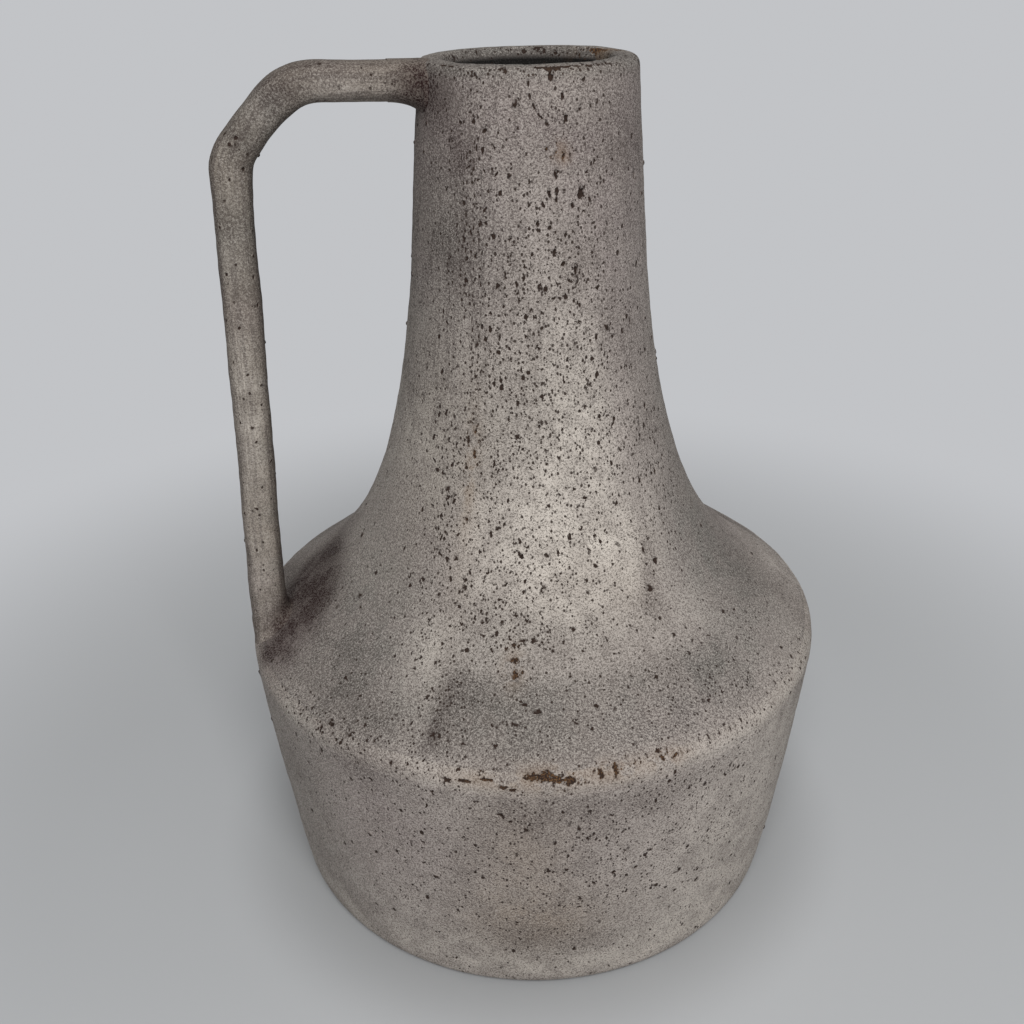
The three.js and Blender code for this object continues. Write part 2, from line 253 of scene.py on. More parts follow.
# Patches of the glaze: turn, height, half width, half height, strength
# The dark patches round turn -90 at heights 88 to 105 and 242 to 245, where the handle meets the jug, are
# partly stain and partly painted shade in the creases of its joints.
STAINS_AND_SHADE = [
    (-90, 96.5, 9, 4.5, 1.0), (-85, 93.5, 6, 3.5, 1.0), (-88, 99, 10, 6, 1.0), (-80, 96.5, 7, 5, 0.6),
    (-96, 99.5, 11, 7, 1.0), (-94, 104, 9, 7, 0.9), (-99, 104, 10, 7, 0.8), (-86, 104, 8, 6, 0.7),
    (-81, 88, 8, 3.5, 0.85), (-77, 91.5, 6, 3.5, 0.7), (-84, 242, 9, 6, 0.6), (-72, 245, 8, 4, 0.45),
    (-60, 243, 5, 4, 0.6), (-46, 231, 4, 6, 0.5), (-62, 226, 9, 8, 0.2), (-53, 207, 7, 9, 0.35),
    (-76, 205, 9, 10, 0.25), (-41, 213, 2.5, 5, 0.35), (-46, 200, 3, 5, 0.35), (-88, 222, 8, 14, 0.3),
    (0, 240, 26, 7, 0.2), (-46, 92, 14, 5, 0.3), (-60, 91, 12, 5, 0.25), (-62, 98, 14, 9, 0.25),
    (22, 114, 2.5, 3, 0.55), (28, 127, 2, 4, 0.4), (25, 120, 2, 3, 0.4), (34, 182, 6, 9, 0.25),
    (40, 229, 9, 3, 0.35), (26, 238, 16, 8, 0.2), (-45, 80, 7, 4, 0.35), (-14, 75, 10, 4, 0.25),
    (8, 75, 12, 4, 0.25), (-14, 22, 6, 4, 0.42), (-1, 20, 6, 4, 0.42), (-8, 26, 12, 6, 0.2),
    (66, 104, 12, 12, 0.25), (100, 150, 14, 20, 0.3), (130, 235, 8, 8, 0.45), (150, 100, 18, 8, 0.5),
    (112, 205, 7, 12, 0.4), (170, 55, 18, 8, 0.3), (-120, 70, 15, 6, 0.35), (-140, 200, 9, 18, 0.45),
    (-160, 95, 14, 8, 0.4), (-118, 230, 8, 8, 0.5), (90, 24, 16, 6, 0.35), (-150, 20, 14, 5, 0.35),
    (175, 240, 9, 4, 0.35),
]
# The mauve patches on the right of the neck and shoulder (turns 24 to 55) and the band just under the lip
# at the front (turn 0, height 240) are partly painted shade: they darken the side turned from the light and
# the neck under the lip.
MAUVES = [
    (-71, 230, 12, 8, 0.7), (-75, 200, 8, 7, 0.7), (-34, 214, 9, 26, 0.5), (32, 225, 15, 13, 0.7),
    (-78, 94, 9, 9, 0.9), (-41, 60, 20, 20, 0.7), (10, 58, 24, 24, 0.6), (40, 205, 11, 28, 0.85),
    (55, 212, 9, 26, 0.6), (0, 240, 26, 7, 0.8), (37, 130, 13, 16, 0.65), (48, 112, 14, 14, 0.45),
    (36, 97, 16, 8, 0.9), (-45, 125, 11, 16, 0.7), (-55, 101, 14, 9, 0.65), (27, 165, 3.5, 26, 0.6),
    (28, 128, 3, 10, 0.5), (24, 93, 14, 5, 0.7), (110, 225, 14, 16, 0.6), (-140, 60, 30, 18, 0.6),
    (170, 205, 12, 20, 0.5), (150, 60, 28, 20, 0.6), (100, 110, 16, 14, 0.5), (-130, 120, 18, 16, 0.5),
    (-165, 235, 12, 10, 0.5),
]
GREYS = [
    (-52, 208, 9, 14, 0.6), (-50, 93, 16, 5, 0.65), (42, 205, 8, 26, 0.25), (-20, 165, 9, 12, 0.25),
    (-10, 112, 20, 7, 0.35), (-17, 97, 20, 7, 0.5), (-54, 100, 22, 14, 0.8), (-50, 150, 10, 22, 0.6),
    (52, 118, 15, 18, 0.9), (60, 105, 14, 10, 0.6), (34, 97, 15, 7, 0.95), (-64, 116, 16, 18, 0.6),
    (-62, 50, 14, 34, 0.4), (57, 60, 15, 30, 0.4), (72, 175, 9, 34, 0.5), (-82, 170, 10, 30, 0.5),
    (125, 190, 12, 26, 0.6), (140, 135, 24, 22, 0.6), (-150, 105, 24, 16, 0.6), (110, 55, 30, 16, 0.5),
    (-100, 45, 24, 18, 0.5), (180, 150, 18, 24, 0.5),
]
CREAMS = [
    (8, 130, 15, 11, 1.0), (2, 119, 12, 7, 0.3), (4, 160, 11, 20, 0.85), (-39, 106, 6, 9, 0.45),
    (-22, 135, 12, 18, 0.6), (-63, 152, 11, 9, 0.4), (4, 243, 10, 4, 0.3), (31, 109, 11, 7, 0.2),
    (24, 46, 24, 26, 0.5), (40, 58, 16, 30, 0.2), (34, 18, 20, 12, 0.2), (4, 14, 44, 8, 0.4),
    (-4, 8, 60, 3, 0.4), (90, 185, 11, 24, 0.5), (160, 122, 18, 14, 0.6), (-118, 150, 14, 24, 0.5),
    (-170, 45, 30, 14, 0.3), (120, 92, 22, 5, 0.4), (-160, 180, 11, 22, 0.5), (180, 8, 90, 3, 0.4),
]
TANS = [
    (-50, 150, 12, 24, 0.3), (-15, 58, 10, 16, 0.5), (-12, 30, 14, 10, 0.9), (-35, 133, 3, 20, 0.3),
    (14, 120, 8, 6, 0.3), (4, 126, 14, 9, 0.35), (100, 40, 14, 16, 0.5), (-150, 35, 16, 14, 0.5),
    (150, 165, 6, 24, 0.3),
]
PITTINGS = [
    (-9, 196, 9.5, 18, 1.0), (-16, 160, 17, 28, 0.95), (-18, 118, 15, 14, 0.9), (12, 195, 6, 30, 0.6),
    (-45, 137, 2.5, 9, 0.9), (-41.5, 111, 2.5, 6, 0.8), (40, 145, 10, 16, 0.6), (-31, 97, 5, 7, 0.8),
    (-46, 87, 22, 4, 0.6), (2, 58, 44, 22, 0.45), (24, 96, 16, 7, 0.5), (-44, 225, 6, 14, 0.4),
    (120, 180, 12, 34, 0.8), (165, 125, 18, 16, 0.7), (-140, 185, 11, 30, 0.7), (-165, 110, 20, 10, 0.6),
    (-110, 60, 34, 14, 0.3), (130, 50, 34, 16, 0.35),
]
RUSTS = [
    (-10, 87, 6, 2.2, 0.9), (-21, 86, 7, 1.6, 0.5), (1, 87, 5, 2.2, 0.7), (11, 87, 5, 2, 0.6),
    (-17, 105, 2, 4, 0.6), (0, 232, 1.8, 1.4, 0.9), (4, 230, 1.2, 1.2, 0.7), (-36, 150, 1.2, 10, 0.7),
    (110, 250, 5, 8, 1.0), (0, 249.5, 8, 1.2, 0.2), (150, 87, 10, 2, 0.6), (-130, 87, 8, 2, 0.5),
]
STREAKS = [
    (-42, 200, 9, 36, 0.75), (-65, 190, 10, 40, 0.6), (10, 190, 26, 50, 0.35), (60, 190, 12, 40, 0.5),
    (150, 195, 14, 36, 0.8), (-160, 185, 12, 34, 0.6), (105, 180, 12, 36, 0.5), (-110, 190, 10, 36, 0.6),
]
# Bands where the shoulder was dipped a second time: from turn to turn, from height to height, strength
DIPS = [(-33.5, 38, 87.5, 104.5, 0.85), (98, 152, 89, 103, 0.6), (-166, -122, 88.5, 101, 0.6)]
DIP_EDGE = 3.5
DIP_START_EDGE = 1.5
DIP_RIM = 0.95  # how dark the dip's thick rim is, at its start
DIP_RIM_REACH = 8.0

# Patches of the handle: distance from the axis, height, reach, strength
# The dark spots at the bar's root by the neck (29 to 34 from the axis) and at the post's foot (76 to 80
# from the axis, heights 91 to 97) are partly stain and partly painted shade in the creases of the joints.
# The faint ones on the post's inner side (74 to 77 from the axis, heights 125 to 205) are painted shade of
# the side turned from the light.
HANDLE_STAINS_AND_SHADE = [
    (66, 241.5, 3, 0.25), (70, 238, 4, 0.2), (29, 246, 5, 0.95), (30, 241, 4, 0.8), (34, 241, 3, 0.4),
    (76, 97, 3.6, 1.0), (77.8, 94.3, 3, 1.0), (80, 91.5, 2.4, 0.85), (40, 250.5, 4, 0.5),
    (49, 251, 3.5, 0.45), (57, 251, 4, 0.5), (61, 245, 2.5, 0.5), (66, 247, 3.5, 0.4), (75, 236, 4, 0.4),
    (73, 228, 3, 0.45), (81, 214, 4, 0.3), (74, 205, 2.5, 0.3), (75, 180, 2.5, 0.3), (76, 150, 2, 0.15),
    (77, 125, 2, 0.15),
]
HANDLE_MAUVES = [(50, 246, 6, 0.4), (66, 243, 4, 0.4), (78, 190, 6, 0.3), (84, 108, 5, 0.4)]
# The grey patches down the post's inner side (76 to 78.3 from the axis, heights 112 to 170) are painted
# shade of the side turned from the light.
HANDLE_GREYS = [
    (52, 247, 10, 0.3), (66, 242, 4, 0.5), (72, 236, 7, 0.8), (78, 210, 10, 0.6), (76, 170, 3, 0.5),
    (76.5, 150, 3, 0.65), (77.5, 130, 3, 0.6), (78.3, 112, 3, 0.5),
]
# The chain of cream patches down the post's outer half (80 to 84.6 from the axis, heights 100 to 205) is
# painted light on the side turned towards the light.
HANDLE_CREAMS = [
    (38, 243, 3.5, 0.35), (47, 244.5, 3, 0.35), (55, 246, 2.5, 0.25), (69, 239, 2.5, 0.25),
    (80, 205, 4, 0.25), (81.3, 180, 4, 0.35), (81.7, 170, 4, 0.6), (82, 160, 4, 0.7), (82.4, 150, 4, 0.55),
    (82.8, 140, 4, 0.4), (83.2, 130, 4, 0.35), (83.6, 120, 4, 0.3), (84, 110, 4, 0.3),
    (84.6, 100, 4, 0.25),
]
HANDLE_STREAK = 0.75
HANDLE_EDGE_DIRT_AND_SHADE = 0.5  # dirt and painted shade along the handle's edges, where its sides turn from the light
HANDLE_EDGE_START = 0.55  # where it starts, as a share of half the thickness
HANDLE_EDGE_WIDTH = 0.4

# Painted shade of the mouth's inside: on the lip, and from how far below the lip it deepens, over which
# height
MOUTH_TOP_SHADE = 0.35
MOUTH_SHADE = 1.5
MOUTH_SHADE_REACH = 1.1
INSIDE_EDGE = 2.0  # thickness of wall over which the inside's shade sets in
# The lip's top is greyer and more pitted, down to a depth and with a soft edge
LIP_WORN_DEPTH = 3.2
LIP_WORN_EDGE = 1.8
LIP_GREY = 0.75
LIP_PITTING = 0.9

# Colours, 0 to 255 as on a screen
BODY_DARK = (128, 119, 113)
BODY_LIGHT = (182, 173, 165)
RIDGE_DARK = (140, 130, 123)
RIDGE_LIGHT = (196, 187, 177)
HANDLE_DARK = (110, 101, 92)
HANDLE_LIGHT = (166, 155, 143)
STREAK_BROWN = (80, 71, 67)
DIP_GREY = (82, 79, 75)
# Dark purple-brown of soot and stains, also used as painted shade at the handle's joints and along its
# edges
SOOT_AND_SHADE = (39, 19, 17)
# Colour of the painted shade inside the mouth and under the foot
MOUTH_PAINTED_SHADE = (12, 11, 10)
DARK_GRAIN = (70, 62, 58)
PALE_GRAIN = (206, 198, 190)
RUST_HALO = (120, 92, 62)
PIT_FLOOR = (50, 37, 30)
RUSTY_PIT_FLOOR = (112, 82, 52)
# Tints that the glaze takes in its patches, and how far it takes them
TINTS = [
    ("mauve", (143, 130, 128), 0.75),
    ("grey", (109, 107, 101), 0.8),
    ("tan", (142, 126, 110), 0.7),
    ("cream", (214, 205, 194), 0.85),
]

# Sizes of the glaze's patterns
DRIFT_SIZE = 34
MOTTLE_SIZE = 8
GRAIN_SIZE = 0.52
DUST_SIZE = 0.3
BRUSH_SIZE = 1.0
BROAD_BRUSH_SIZE = 3.2
BRUSH_STRETCH = 16.0  # how much longer than wide the brush's streaks are
RELIEF = 0.3  # height of the finest relief, which only the material has
HANDLE_GRIT = 0.75  # how strongly grain shows on the handle, as a share of that on the body
GLOSS = 0.3
CLOUD_RANGE = 0.15  # how far noise strays from its middle

# The glaze's fine pits: size of the cells they lie in, chance of one in a cell, how much more where the
# glaze is pitted, least and most radius as shares of the cell, how much taller than wide, and how ragged
PEPPER = (0.9, 0.07, 0.75, (0.2, 0.42), 1.3, 0.35)
COARSE_PITS = (1.7, 0.025, 0.5, (0.16, 0.36), 1.5, 0.7)
WARP_FINENESS = 2.2  # of the noise that makes them ragged, against their cells
CHOICE_EDGE = 0.04  # softness of the choice of cells
DOT_EDGE = (-0.03, 0.09)  # from outside a pit's radius to inside it

# How much each pattern adds to the ground, and how much of it a layer covers
LEAST_PALE = 0.12
DRIFT_SHARE = 0.34
MOTTLE_SHARE = 0.44
GRAIN_SHARE = 0.55
DUST_SHARE = 0.45
STREAK_SHARE = 0.55
# How much of the glaze the inside's painted shade covers
INSIDE_SHADE_SHARE = 0.98
DARK_GRAIN_SHARE = 0.7
PALE_GRAIN_SHARE = 0.4
RUST_SHARE = 0.55
PEPPER_SHARE = 0.92
PEPPER_SINK = 0.6  # depth of the finest pits as a share of the coarser ones'
SPECKLE_RISE = 0.4
RELIEF_SHARE = 0.8
HOLLOW_GRAIN = 0.4  # how far grain roughens the edge of a modelled pit's floor

# Soft edges in a pattern, from its value where a layer starts to where it is full
STREAK_EDGE = (0.45, 0.85)
DARK_GRAIN_EDGE = (0.12, 0.52)
PALE_GRAIN_EDGE = (0.55, 0.95)
HOLLOW_EDGE = (0.2, 0.75)
RUST_EDGE = (0.2, 0.7)
OCHRE_EDGE = (0.35, 0.9)
# The same, with the two values that the result goes between
GRIT_COVER = (0.1, 0.7, 1.25, 0.65)
TINT_COVER = (0.0, 1.0, 0.65, 1.15)
DIP_COVER = (0.0, 1.0, 0.25, 0.6)
SOOT_COVER = (0.0, 1.0, 0.8, 1.2)
CLEAN_RANGE = (0.2, 0.9, 1.0, 0.1)
ROUGHNESS = (0.0, 1.0, 0.95, 0.8)

# Studio, in metres and watts
FLOOR_REACH = 8.0
FLOOR_SEGMENTS = 96
FLOOR_ROUGHNESS = 0.9
FLOOR_GLOSS = 0.2
# Colour of the painted contact shadow round the jug's foot, where the floor's own colour is darkened
FLOOR_PAINTED_SHADOW = (0.37, 0.375, 0.38)
FLOOR_NEAR = (0.52, 0.53, 0.54)
FLOOR_FAR = (0.54, 0.55, 0.57)
FLOOR_PAINTED_SHADOW_RANGE = (0.078, 0.112)  # distances between which the floor goes from shade to near colour
FLOOR_FAR_RANGE = (0.16, 0.38)  # and from near to far colour
WORLD_GREY = (0.6, 0.61, 0.62)
WORLD_STRENGTH = 0.36
# Lamps: name, place, target, size, power
LAMPS = [
    ("front_light", (-0.14, -0.98, 1.18), (0, 0, 0.12), 0.9, 17.5),
    ("side_light", (1.3, -0.2, 0.8), (0, 0, 0.1), 0.9, 2),
]

# Camera, in millimetres and degrees
CAMERA_DISTANCE = 306.8  # from the jug's axis
CAMERA_HEIGHT = 281.25
CAMERA_TURN = -12.75
CAMERA_YAW = -1.10
CAMERA_PITCH = 28.08
CAMERA_ROLL = -0.89
CAMERA_LENS = 39.11
CAMERA_SENSOR = 36.0
CAMERA_NEAR = 10.0  # nearest distance that is drawn


def point(radius, height):
    return Vector((radius, height))


def towards(start, end):
    return (end - start).normalized()


# Corners of the outer skin, as radius and height, and the directions between them
foot_corner = point(FOOT_RADIUS, 0)
belly_corner = point(BELLY_RADIUS, BELLY_HEIGHT)
cone_end = point(BELLY_RADIUS - CONE_RUN, BELLY_HEIGHT + CONE_RISE)
neck_start = point(NECK_RADIUS, HEIGHT - NECK_STRAIGHT)
mouth_corner = point(MOUTH_RADIUS, HEIGHT)
up_wall = towards(foot_corner, belly_corner)
up_shoulder = towards(belly_corner, cone_end)
up_neck = towards(neck_start, mouth_corner)
mitre = (up_shoulder - up_wall).normalized()
inner_corner = belly_corner + mitre * (WALL / abs(up_wall.cross(mitre)))
groove = belly_corner + mitre * SEAM_GROOVE
nose_start = belly_corner - up_wall * BELLY_EDGE
nose_end = belly_corner + up_shoulder * BELLY_EDGE
wall_start = foot_corner + up_wall * FOOT_EDGE
lip_start = mouth_corner - up_neck * (LIP_ROUND / up_neck.y)


def arc(start, corner, end):
    """Curve from start to end that leaves and arrives in the direction of the corner."""
    shares = [i / CURVE_STEPS for i in range(CURVE_STEPS + 1)]
    return [start.lerp(corner, t).lerp(corner.lerp(end, t), t) for t in shares]


def spaced(points, step):
    """The same line with its points about a step apart."""
    lengths = np.cumsum([0] + [(b - a).length for a, b in zip(points, points[1:])])
    count = max(1, round(lengths[-1] / step))
    stations = np.linspace(0, lengths[-1], count + 1)
    columns = [np.interp(stations, lengths, [p[k] for p in points]) for k in range(len(points[0]))]
    return [Vector(row) for row in zip(*columns)]


def run_at(line, i):
    """Direction of a line at one of its points."""
    return towards(line[max(i - 1, 0)], line[min(i + 1, len(line) - 1)])


def moved_in(points, distance):
    """Points of an outline that runs upwards, moved towards the axis side."""
    moved = []
    for i, here in enumerate(points):
        run = run_at(points, i)
        moved.append(here + Vector((-run.y, run.x)) * distance)
    return moved


def lower_wall():
    """The flaring wall, from the foot's edge to the ridge."""
    outwards = Vector((up_wall.y, -up_wall.x))
    middle = (wall_start + nose_start) / 2 + outwards * 2 * BELLY_SWELL
    return arc(wall_start, middle, nose_start)


def upper_wall():
    """Shoulder and neck, from the ridge to the lip."""
    reach = (neck_start - cone_end).length
    sweep = geometry.interpolate_bezier(
        cone_end,
        cone_end + up_shoulder * SHOULDER_TENSION * reach,
        neck_start - up_neck * NECK_TENSION * reach,
        neck_start,
        CURVE_STEPS,
    )
    return [nose_end, *[Vector(p) for p in sweep], lip_start]


def lip_round():
    """The lip, from its broad outer round over its flat top to its tight inner round."""
    inner_edge = MOUTH_RADIUS - WALL - LIP_SWELL
    crest = point(inner_edge + LIP_CREST, HEIGHT)
    shelf = point(lip_start.x - LIP_ROUND, HEIGHT - LIP_FALL)
    under = point(inner_edge + LIP_EASE, HEIGHT - 2 * LIP_CREST)
    outer = arc(lip_start, point(MOUTH_RADIUS, HEIGHT - LIP_EASE), shelf)
    inner = arc(crest, point(inner_edge, HEIGHT), under)
    return [*outer, *inner]


nose = arc(nose_start, belly_corner, nose_end)
foot_round = arc(point(FOOT_RADIUS - FOOT_EDGE, 0), foot_corner, wall_start)
outer_lip = lip_round()[1:CURVE_STEPS]
outer_skin = [*foot_round, *lower_wall()[1:], *nose[1:], *upper_wall()[1:], *outer_lip]
skin_heights = [p.y for p in outer_skin]
skin_radii = [p.x for p in outer_skin]


def skin_radius(height):
    return np.interp(height, skin_heights, skin_radii)


def skin_spot(turn, height):
    """Place on the outer skin, and the directions out of it, round the jug and up the skin."""
    angle = math.radians(turn)
    slope = (skin_radius(height + SLOPE_STEP) - skin_radius(height - SLOPE_STEP)) / (2 * SLOPE_STEP)
    ray = Vector((math.sin(angle), -math.cos(angle), 0))
    up = (ray * slope + Vector((0, 0, 1))).normalized()
    side = Vector((math.cos(angle), math.sin(angle), 0))
    return ray * skin_radius(height) + Vector((0, 0, height)), side.cross(up), side, up


def lower_outline():
    """Recessed underside, standing ring, outer wall, bevelled rim and back down the inside to the floor."""
    ring_outer = FOOT_RADIUS - FOOT_EDGE
    ring_inner = ring_outer - FOOT_RING_WIDTH
    recess_edge = ring_inner - FOOT_RECESS_SLOPE
    floor_top = FOOT_RECESS + FLOOR
    inside = moved_in(lower_wall(), WALL)[::-1]
    floor_corner = inside[-1] + up_wall * ((floor_top - inside[-1].y) / up_wall.y)
    fillet_end = point(floor_corner.x - FLOOR_FILLET, floor_top)
    fillet = arc(floor_corner + up_wall * FLOOR_FILLET, floor_corner, fillet_end)
    inside = [p for p in inside if fillet[0].y < p.y < inner_corner.y]
    return [
        *spaced([point(0, FOOT_RECESS), point(recess_edge, FOOT_RECESS)], 2 * HIDDEN_STEP),
        *spaced([point(ring_inner, 0), point(ring_outer, 0)], HIDDEN_STEP),
        *spaced(foot_round, LIP_STEP)[1:],
        *spaced(lower_wall(), SKIN_STEP)[1:],
        groove,
        *spaced([inner_corner, *inside, *fillet], HIDDEN_STEP),
        *spaced([fillet_end, point(0, floor_top)], 2 * HIDDEN_STEP)[1:],
    ]


def upper_outline():
    """Up the outside, over the lip and back down the inside to the bevelled rim: a closed line."""
    inside = spaced(moved_in(upper_wall(), WALL), LIP_STEP)[::-1]
    inside = [p for p in inside if inner_corner.y < p.y < HEIGHT - LIP_DEPTH]
    return [
        *spaced(upper_wall(), SKIN_STEP),
        *spaced(lip_round(), LIP_STEP)[1:],
        *spaced([p for p in inside if p.y > MOUTH_SEEN], 2 * LIP_STEP),
        *spaced([p for p in inside if p.y <= MOUTH_SEEN] + [inner_corner], HIDDEN_STEP),
        groove,
    ]


def ridge_outline():
    """The ridge's nose and the groove that it fills: a closed line."""
    return [*spaced(nose, RIDGE_STEP), groove]


def spun(outline, is_ring, turn_steps):
    """Solid turned from an outline that starts and ends on the axis, or that closes on itself."""
    bm = bmesh.new()
    row = [bm.verts.new((p.x, 0, p.y)) for p in outline]
    edges = [bm.edges.new(pair) for pair in zip(row, row[1:])]
    if is_ring:
        edges.append(bm.edges.new((row[-1], row[0])))
    sector = 2 * math.pi / SECTORS
    axis = {"cent": (0, 0, 0), "axis": (0, 0, 1)}
    bmesh.ops.spin(bm, geom=row + edges, angle=sector, steps=turn_steps // SECTORS, **axis)
    bmesh.ops.spin(
        bm,
        geom=bm.verts[:] + bm.edges[:] + bm.faces[:],
        angle=2 * math.pi - sector,
        steps=SECTORS - 1,
        use_duplicate=True,
        **axis,
    )
    bmesh.ops.remove_doubles(bm, verts=bm.verts, dist=MERGE_DISTANCE)
    bmesh.ops.recalc_face_normals(bm, faces=bm.faces)
    return bm


# Handle centre line, as distance from the axis and height
bar_start = point(MOUTH_RADIUS - WALL / 2, HEIGHT - BAR_DROP)
bend = point(BEND_RADIUS, HEIGHT - BAR_DROP + BAR_RISE)
elbow = point(ELBOW_RADIUS, HEIGHT - ELBOW_DROP)
handle_foot = belly_corner + up_shoulder * (FOOT_INSET / abs(up_shoulder.x))
along_bar = towards(bar_start, bend)
along_elbow = towards(bend, elbow)
along_post = towards(elbow, handle_foot)
bar_root = bar_start + along_bar * (WALL / 2)
shoulder_slope = CONE_RISE / CONE_RUN


def handle_line():
    """The handle's centre line, from just under the neck's skin to just under the shoulder's."""
    corners = [
        bar_root - along_bar * SLIP_DEPTH,
        *arc(bend - along_bar * BEND_ROUND, bend, bend + along_elbow * BEND_ROUND),
        *arc(elbow - along_elbow * ELBOW_ROUND, elbow, elbow + along_post * ELBOW_ROUND),
        handle_foot + along_post * SLIP_DEPTH,
    ]
    return spaced(corners, HANDLE_STEP)


def handle_swell(place):
    """How much thicker the handle is at a place on its line, on its inner and on its outer face."""
    inner = 0.0
    outer = 0.0
    for distance, height, reach, more_inner, more_outer in HANDLE_SWELLS:
        share = math.exp(-(((place - point(distance, height)).length / reach) ** 2))
        inner += share * more_inner
        outer += share * more_outer
    return inner, outer


def on_section(angle):
    """Point of the handle's section, a circle drawn out towards a square, for a half width of 1."""
    power = 2 / HANDLE_SQUARENESS
    across = math.copysign(abs(math.cos(angle)) ** power, math.cos(angle))
    away = math.copysign(abs(math.sin(angle)) ** power, math.sin(angle))
    return Vector((across, away, 0))


def section_place(centre, run, side=0.0, inner=0.0, outer=0.0, slant=0.0):
    """Matrix that puts a section on the handle's line. side, inner and outer widen it, and slant leans it
    over along the shoulder."""
    outwards = Vector((-run.y, run.x)) + run * slant
    middle = centre + outwards * ((outer - inner) / 2)
    lean = outwards * ((HANDLE_THICKNESS + inner + outer) / 2)
    columns = [
        (0, HANDLE_WIDTH / 2 + side, 0, 0),
        (-lean.x, 0, lean.y, 0),
        (-run.x, 0, run.y, 0),
        (-middle.x, 0, middle.y, 1),
    ]
    return Matrix(columns).transposed()


def swept(places):
    """Closed strip of clay through a row of sections."""
    bm = bmesh.new()
    bmesh.ops.create_circle(bm, cap_ends=True, segments=SECTION_POINTS, radius=1)
    for vert in bm.verts:
        vert.co = on_section(math.atan2(vert.co.y, vert.co.x))
    ring = list(bm.verts)
    edges = list(bm.edges)
    bmesh.ops.transform(bm, matrix=places[0], verts=ring)
    for before, here in zip(places, places[1:]):
        made = bmesh.ops.extrude_edge_only(bm, edges=edges)["geom"]
        ring = [part for part in made if isinstance(part, bmesh.types.BMVert)]
        edges = [part for part in made if isinstance(part, bmesh.types.BMEdge)]
        bmesh.ops.transform(bm, matrix=here @ before.inverted(), verts=ring)
    bmesh.ops.edgeloop_fill(bm, edges=edges)
    bmesh.ops.recalc_face_normals(bm, faces=bm.faces)
    return bm


def handle_strip():
    """The pulled strip of clay. Its last section leans over to end under the shoulder."""
    line = handle_line()
    places = []
    for i, here in enumerate(line):
        inner, outer = handle_swell(here)
        slant = shoulder_slope if i == len(line) - 1 else 0.0
        places.append(section_place(here, run_at(line, i), inner=inner, outer=outer, slant=slant))
    return swept(places)


def slip_collar(skin, back, run, slant, reach, flare):
    """Slip that flares from the handle onto the wall, from where it runs out to just under the skin."""
    count = round(reach / (HANDLE_STEP / 2))
    places = []
    for i in range(count + 1):
        climb = 1 - i / count
        here = skin + back * reach * climb
        inner, outer = handle_swell(here)
        spread = SLIP_SKIN + flare * (1 - math.sqrt(1 - (1 - climb) ** 2))
        places.append(section_place(here, run, spread, spread + inner, SLIP_SKIN + outer, slant))
    under = skin - back * SLIP_DEPTH
    inner, outer = handle_swell(skin)
    flared = SLIP_SKIN + flare
    places.append(section_place(under, run, flared, flared + inner, SLIP_SKIN + outer, slant))
    return swept(places)


def held(value):
    return min(1.0, max(0.0, value))


def uneven(bm):
    """The unevenness of hand-made clay: one field for every piece, so that joined pieces stay joined."""
    for vert in bm.verts:
        co = vert.co.copy()
        move = Vector()
        for size, depth in SWELLS:
            move += noise.noise_vector(co / size) * depth
        flat = Vector((co.x, co.y, 0))
        turn = math.atan2(co.x, -co.y)
        wander = THROWING_WANDER * noise.noise(co / THROWING_WANDER_SIZE)
        rings = math.sin(2 * math.pi * co.z / THROWING_PITCH + turn + wander)
        if flat.length > 1:
            move += flat.normalized() * rings * THROWING_DEPTH
        shoulder = math.exp(-(((co.z - BELLY_HEIGHT) / LEAN_REACH) ** 2))
        move.z += LEAN * shoulder * math.cos(turn - math.radians(LEAN_TURN)) * flat.length / BELLY_RADIUS
        move.z -= SAG * math.exp(-(((co.z - SAG_HEIGHT) / SAG_REACH) ** 2))
        drawn = held((co.z - RISE_START) / (HEIGHT - BAR_DROP - RISE_START))
        drawn *= held((BEND_RADIUS - flat.length) / (BEND_RADIUS - NECK_RADIUS))
        move.z += drawn * (LIP_RISE + LIP_TILT * math.cos(turn - math.radians(LIP_TILT_TURN)))
        vert.co += move * held(co.z / FOOT_STEADY)


Mark = namedtuple("Mark", "spot out side up width length depth dirt", defaults=[1.0])


def skin_mark(turn, height, width, length, depth, lean=0.0, dirt=1.0):
    """A mark on the body's outer skin. lean turns its length away from upright, in degrees, and dirt is how
    dark its floor is."""
    spot, out, side, up = skin_spot(turn, height)
    twist = Matrix.Rotation(math.radians(lean), 3, out)
    return Mark(spot, out, twist @ side, twist @ up, width, length, depth, dirt)


def lip_mark(turn, over, width, length, depth):
    """A mark on the lip. over is 0 at its outer side, 90 on its top and 180 at its inner side."""
    angle = math.radians(turn)
    ray = Vector((math.sin(angle), -math.cos(angle), 0))
    line = spaced(lip_round(), LIP_STEP / 4)
    i = round(over / 180 * (len(line) - 1))
    run = run_at(line, i)
    out = ray * run.y - Vector((0, 0, run.x))
    side = Vector((math.cos(angle), math.sin(angle), 0))
    spot = ray * line[i].x + Vector((0, 0, line[i].y))
    return Mark(spot, out, side, out.cross(side), width, length, depth)


def handle_mark(station, around, width, length, depth):
    """A mark on the handle, a share of the way along it. around is 0 on the side towards +Y, 90 on the face
    that looks away from the jug, and 180 on the side towards -Y."""
    line = handle_line()
    i = round(station * (len(line) - 1))
    run = run_at(line, i)
    place = section_place(line[i], run)
    spot = place @ on_section(math.radians(around))
    up = Vector((-run.x, 0, run.y))
    out = spot - place.translation
    out = (out - up * out.dot(up)).normalized()
    return Mark(spot, out, up.cross(out), up, width, length, depth)


